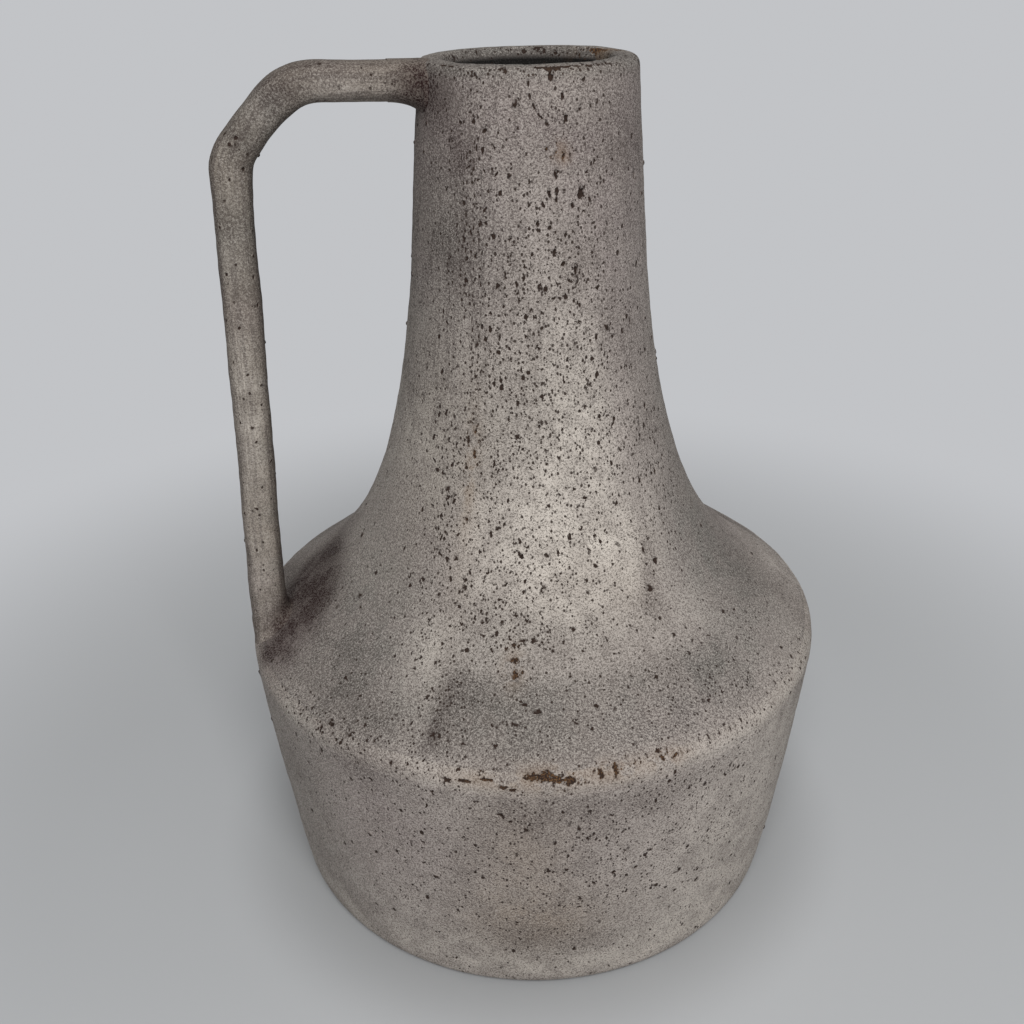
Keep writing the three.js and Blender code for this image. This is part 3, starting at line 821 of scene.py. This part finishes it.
def cut_finer(bm, marks, cuts):
    """Cuts the faces near the marks into smaller ones."""
    if not marks:
        return
    bm.faces.ensure_lookup_table()
    bm.normal_update()
    tree = kdtree.KDTree(len(bm.faces))
    for face in bm.faces:
        tree.insert(face.calc_center_median(), face.index)
    tree.balance()
    edges = set()
    for mark in marks:
        reach = max(mark.width, mark.length) / 2 + MARK_MARGIN
        for _, index, _ in tree.find_range(mark.spot, reach):
            face = bm.faces[index]
            if face.normal.dot(mark.out) > MARK_FACING:
                edges.update(face.edges)
    bmesh.ops.subdivide_edges(bm, edges=list(edges), cuts=cuts, use_grid_fill=True)


def press(bm, marks):
    """Presses the marks into the skin, or raises those of negative depth, and notes on each point how deep
    in a mark it lies, by how dirty that is."""
    hollow = bm.verts.layers.float.new("hollow")
    bm.verts.ensure_lookup_table()
    tree = kdtree.KDTree(len(bm.verts))
    for vert in bm.verts:
        tree.insert(vert.co, vert.index)
    tree.balance()
    moves = {}
    for mark in marks:
        for co, index, _ in tree.find_range(mark.spot, MARK_REACH * max(mark.width, mark.length)):
            offset = co - mark.spot
            across = offset.dot(mark.side) / mark.width
            along = offset.dot(mark.up) / mark.length
            away = 2 * math.hypot(across, along) / (1 + MARK_RAGGED * noise.noise(co / MARK_GRIT))
            share = held((1 + MARK_EDGE / 2 - away) / MARK_EDGE)
            share = share * share * (3 - 2 * share)
            is_near = abs(offset.dot(mark.out)) < WALL / 2
            if is_near and share * abs(mark.depth) > abs(moves.get(index, (0,))[0]):
                moves[index] = (share * mark.depth, mark.out, share * mark.dirt)
    for index, (depth, out, dirt) in moves.items():
        bm.verts[index].co -= out * depth
        bm.verts[index][hollow] = dirt


def turns_and_radii(points):
    turns = np.degrees(np.arctan2(points[:, 0], -points[:, 1]))
    return turns, np.hypot(points[:, 0], points[:, 1])


def patch_mask(points, patches):
    """How strongly soft patches cover the points of the body."""
    turns, radii = turns_and_radii(points)
    clear = np.ones(len(points))
    for turn, height, wide, tall, strength in patches:
        apart = np.radians((turns - turn + 180) % 360 - 180)
        across = apart * radii / wide
        upwards = np.hypot(points[:, 2] - height, radii - skin_radius(height)) / tall
        clear *= 1 - strength * np.exp(-(across**2 + upwards**2) / 2)
    return 1 - clear


def spot_mask(points, spots):
    """The same for patches of the handle."""
    clear = np.ones(len(points))
    for distance, height, reach, strength in spots:
        away = np.hypot(points[:, 0] + distance, points[:, 2] - height)
        clear *= 1 - strength * np.exp(-((away / reach) ** 2) / 2)
    return 1 - clear


def dip_mask(points):
    """How strongly the second dip covers the points, and how dark its thick rim is there."""
    turns, radii = turns_and_radii(points)
    cover = np.zeros(len(points))
    rim = np.zeros(len(points))
    for start, end, low, high, strength in DIPS:
        from_start = np.radians(turns - start) * radii
        from_end = np.radians(end - turns) * radii
        upwards = np.minimum(points[:, 2] - low, high - points[:, 2])
        sides = np.minimum(from_start / DIP_START_EDGE, from_end / DIP_EDGE)
        share = strength * np.clip(np.minimum(sides, upwards / DIP_EDGE), 0, 1)
        cover = np.maximum(cover, share)
        rim = np.maximum(rim, DIP_RIM * share * np.exp(-np.maximum(from_start, 0) / DIP_RIM_REACH))
    return cover, rim


def inside_shade_mask(points):
    """Painted shade of the jug's inside: 1 on the wall inside the jug and under its foot, less just below
    the lip, and 0 on the outer skin.
    """
    _, radii = turns_and_radii(points)
    hidden = np.clip((skin_radius(points[:, 2]) - radii - WALL / 2) / INSIDE_EDGE, 0, 1)
    deep = np.clip((HEIGHT - MOUTH_SHADE - points[:, 2]) / MOUTH_SHADE_REACH, 0, 1)
    return hidden * (MOUTH_TOP_SHADE + (1 - MOUTH_TOP_SHADE) * deep)


def lip_mask(points):
    """1 on the top of the lip, 0 below its rounds."""
    above = points[:, 2] - (HEIGHT + LIP_RISE - LIP_WORN_DEPTH)
    return np.clip(above / LIP_WORN_EDGE, 0, 1)


def along_handle(points):
    """Places of points on the handle: across it, away from its line, and along it."""
    line = np.array([(-p.x, 0, p.y) for p in handle_line()])
    runs = np.gradient(line, axis=0)
    runs /= np.linalg.norm(runs, axis=1)[:, None]
    tree = kdtree.KDTree(len(line))
    for i, place in enumerate(line):
        tree.insert(place, i)
    tree.balance()
    nearest = np.array([tree.find(place)[1] for place in points])
    offsets = points - line[nearest]
    away = offsets[:, 0] * -runs[nearest, 2] + offsets[:, 2] * runs[nearest, 0]
    return np.column_stack([offsets[:, 1], away, nearest * HANDLE_STEP])


def edge_dirt_and_shade_mask(away):
    """How strongly dirt and painted shade lie along the handle's edges, for points at these distances from
    its line.
    """
    out = np.abs(away) / (HANDLE_THICKNESS / 2)
    return HANDLE_EDGE_DIRT_AND_SHADE * np.clip((out - HANDLE_EDGE_START) / HANDLE_EDGE_WIDTH, 0, 1)


def both_mask(points, patches, spots):
    return np.maximum(patch_mask(points, patches), spot_mask(points, spots))


def glaze_masks(points, is_body):
    """Strengths of the glaze's patches, and of its painted shade, on the points of a piece."""
    dip, rim = dip_mask(points)
    masks = {
        "mauve": both_mask(points, MAUVES, HANDLE_MAUVES),
        "grey": both_mask(points, GREYS, HANDLE_GREYS),
        "cream": both_mask(points, CREAMS, HANDLE_CREAMS),
        "tan": patch_mask(points, TANS),
        "pitting": patch_mask(points, PITTINGS),
        "rust": patch_mask(points, RUSTS),
        "dip": dip,
    }
    if is_body:
        lip = lip_mask(points)
        masks["grey"] = np.maximum(masks["grey"], LIP_GREY * lip)
        masks["pitting"] = np.maximum(masks["pitting"], LIP_PITTING * lip)
        # Stains, with painted shade where the handle meets the jug
        masks["stain_and_shade"] = np.maximum(patch_mask(points, STAINS_AND_SHADE), rim)
        masks["streak"] = patch_mask(points, STREAKS)
        # Painted shade of the jug's inside, deepening below the lip
        masks["inside"] = inside_shade_mask(points)
    else:
        away = along_handle(points)[:, 1]
        # Stains with painted shade at the joints and on the post's inner side, and dirt with painted shade
        # along the edges
        masks["stain_and_shade"] = np.maximum(spot_mask(points, HANDLE_STAINS_AND_SHADE), edge_dirt_and_shade_mask(away))
        masks["streak"] = np.full(len(points), HANDLE_STREAK)
        masks["inside"] = np.zeros(len(points))
    return masks


def brushed_places(points, is_body):
    """Places squeezed along the way the brush went: up the body, and along the handle."""
    places = points if is_body else along_handle(points)
    return places * (1, 1, 1 / BRUSH_STRETCH)


def pit_chance(turn, height):
    """How pitted the glaze is at a place, from 0 to 1."""
    spot = np.array([skin_spot(turn, height)[0]])
    return patch_mask(spot, PITTINGS)[0]


def scattered_pits(seed, count, heights, spare):
    """Pits that lie closest where the glaze is pitted. spare is the chance of one elsewhere."""
    dice = random.Random(seed)
    pits = []
    for _ in range(count):
        while True:
            turn = dice.uniform(-180, 180)
            height = dice.uniform(*heights)
            roomy = skin_radius(height) / BELLY_RADIUS
            if dice.random() < roomy * (spare + (1 - spare) * pit_chance(turn, height)):
                break
        for _ in range(dice.choice(PIT_SPOTS)):
            width = dice.uniform(*PIT_WIDTHS) * (NECK_PITS if height > FINE_HEIGHT else 1)
            length = width * dice.uniform(*PIT_STRETCH)
            depth = dice.uniform(*PIT_DEPTHS)
            lean = dice.uniform(-PIT_LEAN, PIT_LEAN)
            pits.append(skin_mark(turn, height, width, length, depth, lean))
            turn += math.degrees(dice.uniform(-PIT_DRIFT, PIT_DRIFT) / skin_radius(height))
            height += dice.uniform(-PIT_CLIMB, PIT_CLIMB)
    return pits


def scattered_crumbs(seed):
    """Crumbs of clay that stick to the skin all over the jug."""
    dice = random.Random(seed)
    crumbs = []
    for _ in range(CRUMBS):
        width = dice.uniform(*CRUMB_WIDTHS)
        height = dice.uniform(*CRUMB_HEIGHTS)
        turn = dice.uniform(-180, 180)
        crumbs.append(skin_mark(turn, height, width, width, -dice.uniform(*CRUMB_RISES)))
    return crumbs


def ridge_marks(seed):
    """Short strokes across the ridge, where the glaze has crept apart, and chips where it is worn."""
    dice = random.Random(seed)
    marks = []
    for start, end in COMBED_RIDGE:
        turn = start
        while turn < end:
            height = STROKE_HEIGHT + dice.uniform(*STROKE_SHIFTS)
            length = dice.uniform(*STROKE_LENGTHS)
            lean = dice.uniform(-STROKE_LEAN, STROKE_LEAN)
            dirt = dice.uniform(*STROKE_DIRT)
            marks.append(skin_mark(turn, height, STROKE_WIDTH, length, STROKE_DEPTH, lean, dirt))
            turn += dice.uniform(*STROKE_GAPS)
    for start, end in WORN_RIDGE:
        for _ in range(WORN_CHIPS):
            turn = dice.uniform(start, end)
            height = dice.uniform(*WORN_HEIGHTS)
            width = dice.uniform(*WORN_WIDTHS)
            marks.append(skin_mark(turn, height, width, dice.uniform(*WORN_LENGTHS), WORN_DEPTH))
    return marks


def pit_lines(seed):
    """Rows of small pits down the neck, where the brush has dragged the glaze open."""
    dice = random.Random(seed)
    pits = []
    for turn, low, high in PIT_LINES:
        height = low
        while height < high:
            wander = turn + dice.uniform(-LINE_WANDER, LINE_WANDER)
            pits.append(skin_mark(wander, height, LINE_WIDTH, dice.uniform(*LINE_LENGTHS), LINE_DEPTH))
            height += dice.uniform(*LINE_GAPS)
    return pits


def scattered_handle_marks(seed):
    """Pits, mostly small ones, and crumbs all round the handle."""
    dice = random.Random(seed)
    marks = []
    for _ in range(HANDLE_PITS):
        width = HANDLE_PIT_LEAST + HANDLE_PIT_MORE * dice.random() ** 2
        length = width * dice.uniform(*HANDLE_PIT_STRETCH)
        station = dice.uniform(*HANDLE_MARKED)
        marks.append(handle_mark(station, dice.uniform(0, 360), width, length, HANDLE_MARK_DEPTH))
    for _ in range(HANDLE_CRUMBS):
        width = dice.uniform(*HANDLE_CRUMB_WIDTHS)
        station = dice.uniform(*HANDLE_MARKED)
        marks.append(handle_mark(station, dice.uniform(0, 360), width, width, -HANDLE_MARK_DEPTH))
    return marks


body_marks = [
    *[skin_mark(*values) for values in CHOSEN_MARKS],
    *[lip_mark(*values) for values in CHOSEN_LIP_MARKS],
    *scattered_pits(SEED, SHOULDER_PITS, SHOULDER_PIT_HEIGHTS, SHOULDER_SPARE),
    *scattered_pits(SEED + 1, WALL_PITS, WALL_PIT_HEIGHTS, WALL_SPARE),
    *scattered_crumbs(SEED + 2),
    *ridge_marks(SEED + 3),
    *pit_lines(SEED + 5),
]
handle_marks = scattered_handle_marks(SEED + 4)


def colour(red, green, blue):
    """A screen colour, 0 to 255, as the scene's linear light."""
    shares = [value / 255 for value in (red, green, blue)]
    linear = [s / 12.92 if s <= 0.04045 else ((s + 0.055) / 1.055) ** 2.4 for s in shares]
    return (*linear, 1.0)


class Finish:
    """A material in the making, with short ways to add its nodes."""

    def __init__(self, name):
        self.material = bpy.data.materials.new(name)
        self.material.use_nodes = True
        self.tree = self.material.node_tree
        self.shader = self.tree.nodes["Principled BSDF"]
        self.place = self.node("ShaderNodeTexCoord").outputs["Object"]

    def set(self, socket, value):
        if isinstance(value, bpy.types.NodeSocket):
            self.tree.links.new(value, socket)
        else:
            socket.default_value = value

    def node(self, kind, inputs=(), **settings):
        made = self.tree.nodes.new(kind)
        for key, value in settings.items():
            setattr(made, key, value)
        for key, value in dict(inputs).items():
            self.set(made.inputs[key], value)
        return made

    def math(self, operation, first, second=0.0, clamp=False):
        inputs = {0: first, 1: second}
        return self.node("ShaderNodeMath", inputs, operation=operation, use_clamp=clamp).outputs[0]

    def vector(self, operation, inputs):
        return self.node("ShaderNodeVectorMath", inputs, operation=operation).outputs[0]

    def total(self, *values):
        """Sum of the values, held between 0 and 1."""
        result = values[0]
        for value in values[1:]:
            result = self.math("ADD", result, value)
        return self.math("ADD", result, 0.0, clamp=True)

    def times(self, first, *others):
        result = first
        for other in others:
            result = self.math("MULTIPLY", result, other)
        return result

    def spread(self, value, low, high, to_low=0.0, to_high=1.0):
        """Value eased from one range to another."""
        inputs = {0: value, 1: low, 2: high, 3: to_low, 4: to_high}
        return self.node("ShaderNodeMapRange", inputs, interpolation_type="SMOOTHSTEP").outputs[0]

    def mix(self, share, first, second):
        inputs = {0: share, 6: first, 7: second}
        return self.node("ShaderNodeMix", inputs, data_type="RGBA").outputs[2]

    def mask(self, name):
        return self.node("ShaderNodeAttribute", attribute_name=name).outputs["Fac"]

    def stretched(self, upright):
        """Object places squeezed upwards, so that what is drawn on them is that much longer upright."""
        inputs = {"Vector": self.place, "Scale": (1, 1, 1 / upright)}
        return self.node("ShaderNodeMapping", inputs).outputs[0]

    def cloud(self, size, detail, rough=0.55, place=None):
        """Noise of a size in millimetres, spread to run from about 0 to 1."""
        inputs = {
            "Vector": place or self.place,
            "Scale": 1 / (size * MM),
            "Detail": detail,
            "Roughness": rough,
        }
        value = self.node("ShaderNodeTexNoise", inputs).outputs[0]
        return self.spread(value, 0.5 - CLOUD_RANGE, 0.5 + CLOUD_RANGE)


class Stoneware(Finish):
    """Matt volcanic glaze in the making, with the patterns that its layers share. grit is how strongly its
    grain shows."""

    def __init__(self, name, grit):
        super().__init__(name)
        self.grit = grit
        self.mottle = self.cloud(MOTTLE_SIZE, detail=5, rough=0.6)
        self.grain = self.cloud(GRAIN_SIZE, detail=2, rough=0.65)
        dust = self.cloud(DUST_SIZE, detail=1, rough=0.6)
        self.speckle = self.total(self.times(self.grain, GRAIN_SHARE), self.times(dust, DUST_SHARE))
        # Stains, with painted shade at the handle's joints and along its edges
        self.stain_and_shade = self.mask("stain_and_shade")
        # Painted shade of the jug's inside
        self.inside = self.mask("inside")
        self.pitting = self.mask("pitting")

    def ground(self, dark, light):
        """Mottled ground between two colours, with its tinted patches."""
        drift = self.cloud(DRIFT_SIZE, detail=4)
        mottled = self.times(self.mottle, MOTTLE_SHARE)
        paleness = self.total(LEAST_PALE, self.times(drift, DRIFT_SHARE), mottled)
        ground = self.mix(paleness, colour(*dark), colour(*light))
        uneven_cover = self.spread(self.mottle, *TINT_COVER)
        for mask, tint, strength in TINTS:
            tinted = self.total(self.times(self.mask(mask), strength, uneven_cover))
            ground = self.mix(tinted, ground, colour(*tint))
        return ground

    def streaked(self, ground):
        """The ground with the brush's streaks."""
        brushed = self.node("ShaderNodeAttribute", attribute_name="brushed").outputs["Vector"]
        fine = self.cloud(BRUSH_SIZE, detail=3, rough=0.6, place=brushed)
        broad = self.cloud(BROAD_BRUSH_SIZE, detail=3, rough=0.6, place=brushed)
        brush = self.total(self.times(fine, 1 / 2), self.times(broad, 1 / 2))
        share = self.times(self.mask("streak"), self.spread(brush, *STREAK_EDGE), STREAK_SHARE)
        return self.mix(share, ground, colour(*STREAK_BROWN))

    def darkened(self, ground):
        """The ground with its second dip, its soot with the painted shade at the handle's joints and edges,
        and the painted shade of the inside.
        """
        gritty = self.spread(self.speckle, *GRIT_COVER)
        dipped = self.times(self.mask("dip"), gritty, self.spread(self.mottle, *DIP_COVER))
        ground = self.mix(dipped, ground, colour(*DIP_GREY))
        # Soot and stains, with painted shade at the handle's joints and along its edges
        sooty_and_shaded = self.total(self.times(self.stain_and_shade, gritty, self.spread(self.mottle, *SOOT_COVER)))
        ground = self.mix(sooty_and_shaded, ground, colour(*SOOT_AND_SHADE))
        # Painted shade of the jug's inside
        return self.mix(self.times(self.inside, INSIDE_SHADE_SHARE), ground, colour(*MOUTH_PAINTED_SHADE))

    def grainy(self, ground):
        """The ground with dark and pale grain, which soot, the painted shade at the handle's joints and
        edges, and the painted shade of the inside cover.
        """
        clean = self.spread(self.math("MAXIMUM", self.stain_and_shade, self.inside), *CLEAN_RANGE)
        dark = self.spread(self.speckle, *DARK_GRAIN_EDGE, DARK_GRAIN_SHARE * self.grit, 0.0)
        ground = self.mix(self.times(dark, clean), ground, colour(*DARK_GRAIN))
        pale = self.spread(self.speckle, *PALE_GRAIN_EDGE, 0.0, PALE_GRAIN_SHARE * self.grit)
        return self.mix(self.times(pale, clean), ground, colour(*PALE_GRAIN))

    def pits(self, cell, chance, pitted, radii, upright, ragged):
        """Ragged dots in cells, as the values at the top describe them."""
        place = self.stretched(upright)
        warp_inputs = {"Vector": place, "Scale": WARP_FINENESS / (cell * MM), "Detail": 1.0}
        warp = self.node("ShaderNodeTexNoise", warp_inputs).outputs["Color"]
        shift = self.vector("SUBTRACT", {0: warp, 1: (0.5, 0.5, 0.5)})
        scaled = self.vector("SCALE", {0: shift, 3: ragged * cell * MM})
        moved = self.vector("ADD", {0: place, 1: scaled})
        cells = self.node("ShaderNodeTexVoronoi", {"Vector": moved, "Scale": 1 / (cell * MM)})
        draws = self.node("ShaderNodeSeparateColor", {0: cells.outputs["Color"]})
        likely = self.total(chance * self.grit, self.times(self.pitting, pitted))
        is_held = self.spread(self.math("SUBTRACT", likely, draws.outputs[0]), -CHOICE_EDGE, CHOICE_EDGE)
        radius = self.spread(draws.outputs[1], 0.0, 1.0, *radii)
        within = self.math("SUBTRACT", radius, cells.outputs["Distance"])
        return self.times(is_held, self.spread(within, *DOT_EDGE))

    def pitted(self, ground, pepper, coarse):
        """The ground with rust, and with the floors of fine pits and of those that are modelled."""
        rust = self.mask("rust")
        rusty = self.times(rust, self.spread(self.mottle, *RUST_EDGE), RUST_SHARE)
        ground = self.mix(rusty, ground, colour(*RUST_HALO))
        ochre = self.times(rust, self.spread(self.grain, *OCHRE_EDGE))
        pit_floor = self.mix(ochre, colour(*PIT_FLOOR), colour(*RUSTY_PIT_FLOOR))
        rough_edge = self.times(self.grain, HOLLOW_GRAIN)
        hollow = self.spread(self.total(self.mask("hollow"), rough_edge, -HOLLOW_GRAIN / 2), *HOLLOW_EDGE)
        for pits in [self.times(pepper, PEPPER_SHARE), coarse, hollow]:
            ground = self.mix(pits, ground, pit_floor)
        return ground

    def relief(self, pepper, coarse):
        """Raised grain and sunk pits, for the shader's normal."""
        sunk = self.math("ADD", self.times(pepper, PEPPER_SINK), coarse)
        height = self.math("SUBTRACT", self.times(self.speckle, SPECKLE_RISE), sunk)
        inputs = {"Height": height, "Strength": RELIEF_SHARE, "Distance": RELIEF * MM}
        return self.node("ShaderNodeBump", inputs).outputs[0]


def stoneware(name, dark, light, grit=1.0):
    """Matt volcanic glaze on a ground between two colours: stains, painted shade, grain, pits and rust."""
    f = Stoneware(name, grit)
    pepper = f.pits(*PEPPER)
    coarse = f.pits(*COARSE_PITS)
    ground = f.streaked(f.ground(dark, light))
    ground = f.grainy(f.darkened(ground))
    f.set(f.shader.inputs["Base Color"], f.pitted(ground, pepper, coarse))
    f.set(f.shader.inputs["Normal"], f.relief(pepper, coarse))
    f.set(f.shader.inputs["Roughness"], f.spread(f.speckle, *ROUGHNESS))
    f.shader.inputs["Specular IOR Level"].default_value = GLOSS
    return f.material


def piece(name, bm, material, nodes, marks, is_body=True):
    """Finishes a piece: cuts and presses its marks, makes it uneven, and notes the patches of its glaze."""
    cut_finer(bm, [mark for mark in marks if mark.spot.z <= FINE_HEIGHT], CUTS)
    cut_finer(bm, [mark for mark in marks if mark.spot.z > FINE_HEIGHT], NECK_CUTS)
    press(bm, marks)
    uneven(bm)
    bmesh.ops.scale(bm, vec=(MM, MM, MM), verts=bm.verts)
    mesh = bpy.data.meshes.new(name)
    bm.to_mesh(mesh)
    bm.free()
    mesh.shade_smooth()
    mesh.set_sharp_from_angle(angle=math.radians(SHARP_ANGLE))
    points = np.empty(len(mesh.vertices) * 3)
    mesh.vertices.foreach_get("co", points)
    points = points.reshape(-1, 3) / MM
    for key, values in glaze_masks(points, is_body).items():
        mesh.attributes.new(key, "FLOAT", "POINT").data.foreach_set("value", values)
    brushed = brushed_places(points, is_body) * MM
    mesh.attributes.new("brushed", "FLOAT_VECTOR", "POINT").data.foreach_set("vector", brushed.ravel())
    made = bpy.data.objects.new(name, mesh)
    bpy.context.scene.collection.objects.link(made)
    mesh.materials.append(material)
    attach(made, "root")
    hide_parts(*nodes)


body_glaze = stoneware("body_glaze", BODY_DARK, BODY_LIGHT)
ridge_glaze = stoneware("ridge_slip", RIDGE_DARK, RIDGE_LIGHT)
handle_glaze = stoneware("handle_glaze", HANDLE_DARK, HANDLE_LIGHT, HANDLE_GRIT)
slip_glaze = stoneware("handle_slip", HANDLE_DARK, HANDLE_LIGHT, HANDLE_GRIT)


def thrown_lower_body():
    bm = spun(lower_outline(), False, WALL_TURN_STEPS)
    piece("thrown_lower_body", bm, body_glaze, ["lower_body"], body_marks)


def thrown_shoulder_and_neck():
    bm = spun(upper_outline(), True, TURN_STEPS)
    piece("thrown_shoulder_and_neck", bm, body_glaze, ["shoulder_neck"], body_marks)


def shoulder_ridge_slip():
    bm = spun(ridge_outline(), True, WALL_TURN_STEPS)
    piece("shoulder_ridge_slip", bm, ridge_glaze, ["seam_slip"], body_marks)


def pulled_handle():
    piece("pulled_handle", handle_strip(), handle_glaze, ["handle"], handle_marks, False)


def handle_top_slip_collar():
    bm = slip_collar(bar_root, along_bar, along_bar, 0.0, TOP_REACH, TOP_FLARE)
    piece("handle_top_slip_collar", bm, slip_glaze, ["handle_top_slip"], [], False)


def handle_foot_slip_collar():
    bm = slip_collar(handle_foot, -along_post, along_post, shoulder_slope, FOOT_REACH, FOOT_FLARE)
    piece("handle_foot_slip_collar", bm, slip_glaze, ["handle_foot_slip"], [], False)


def floor_finish():
    """Pale floor with a painted contact shadow round the jug's foot, that turns lighter far off."""
    f = Finish("pale_floor")
    far = f.node("ShaderNodeVectorMath", {0: f.place}, operation="LENGTH").outputs[1]
    painted_shadow = f.spread(far, *FLOOR_PAINTED_SHADOW_RANGE)
    f.set(f.shader.inputs["Base Color"], f.mix(painted_shadow, (*FLOOR_PAINTED_SHADOW, 1.0), (*FLOOR_NEAR, 1.0)))
    f.shader.inputs["Roughness"].default_value = FLOOR_ROUGHNESS
    f.shader.inputs["Specular IOR Level"].default_value = FLOOR_GLOSS
    glow = f.node("ShaderNodeEmission", {"Color": (*FLOOR_FAR, 1.0), "Strength": 1.0})
    seen = f.node("ShaderNodeLightPath").outputs["Is Camera Ray"]
    share = f.times(seen, f.spread(far, *FLOOR_FAR_RANGE))
    blend = f.node("ShaderNodeMixShader", {0: share, 1: f.shader.outputs[0], 2: glow.outputs[0]})
    f.set(f.tree.nodes["Material Output"].inputs["Surface"], blend.outputs[0])
    return f.material


def studio_floor():
    """Round floor under the jug."""
    bm = bmesh.new()
    bmesh.ops.create_circle(bm, cap_ends=True, segments=FLOOR_SEGMENTS, radius=FLOOR_REACH)
    mesh = bpy.data.meshes.new("studio_floor")
    bm.to_mesh(mesh)
    bm.free()
    floor = bpy.data.objects.new("studio_floor", mesh)
    bpy.context.scene.collection.objects.link(floor)
    mesh.materials.append(floor_finish())


def lamp(name, place, target, size, power):
    """Round soft lamp at a place, turned to a target."""
    data = bpy.data.lights.new(name, "AREA")
    data.shape = "DISK"
    data.size = size
    data.energy = power
    made = bpy.data.objects.new(name, data)
    made.location = Vector(place)
    made.rotation_euler = (Vector(target) - Vector(place)).to_track_quat("-Z", "Y").to_euler()
    bpy.context.scene.collection.objects.link(made)


def studio_world():
    """Even grey light from all round. The camera sees it in the floor's far colour."""
    world = bpy.data.worlds.new("studio")
    world.use_nodes = True
    tree = world.node_tree
    light = tree.nodes["Background"]
    light.inputs["Color"].default_value = (*WORLD_GREY, 1.0)
    light.inputs["Strength"].default_value = WORLD_STRENGTH
    backdrop = tree.nodes.new("ShaderNodeBackground")
    backdrop.inputs["Color"].default_value = (*FLOOR_FAR, 1.0)
    path = tree.nodes.new("ShaderNodeLightPath")
    blend = tree.nodes.new("ShaderNodeMixShader")
    tree.links.new(path.outputs["Is Camera Ray"], blend.inputs[0])
    tree.links.new(light.outputs[0], blend.inputs[1])
    tree.links.new(backdrop.outputs[0], blend.inputs[2])
    tree.links.new(blend.outputs[0], tree.nodes["World Output"].inputs["Surface"])
    bpy.context.scene.world = world


def camera():
    """Camera at the photograph's place."""
    data = bpy.data.cameras.new("camera")
    data.sensor_width = CAMERA_SENSOR
    data.lens = CAMERA_LENS
    data.clip_start = CAMERA_NEAR * MM
    made = bpy.data.objects.new("camera", data)
    turn = math.radians(CAMERA_TURN)
    place = Vector((math.sin(turn), -math.cos(turn), 0)) * CAMERA_DISTANCE
    place.z = CAMERA_HEIGHT
    heading = Matrix.Rotation(math.radians(CAMERA_TURN - CAMERA_YAW), 4, "Z")
    pitch = Matrix.Rotation(math.radians(90 - CAMERA_PITCH), 4, "X")
    roll = Matrix.Rotation(math.radians(CAMERA_ROLL), 4, "Z")
    made.matrix_world = Matrix.Translation(place * MM) @ heading @ pitch @ roll
    bpy.context.scene.collection.objects.link(made)
    bpy.context.scene.camera = made


thrown_lower_body()
thrown_shoulder_and_neck()
shoulder_ridge_slip()
pulled_handle()
handle_top_slip_collar()
handle_foot_slip_collar()

studio_floor()
for values in LAMPS:
    lamp(*values)
studio_world()
bpy.context.scene.view_settings.view_transform = "Standard"
camera()
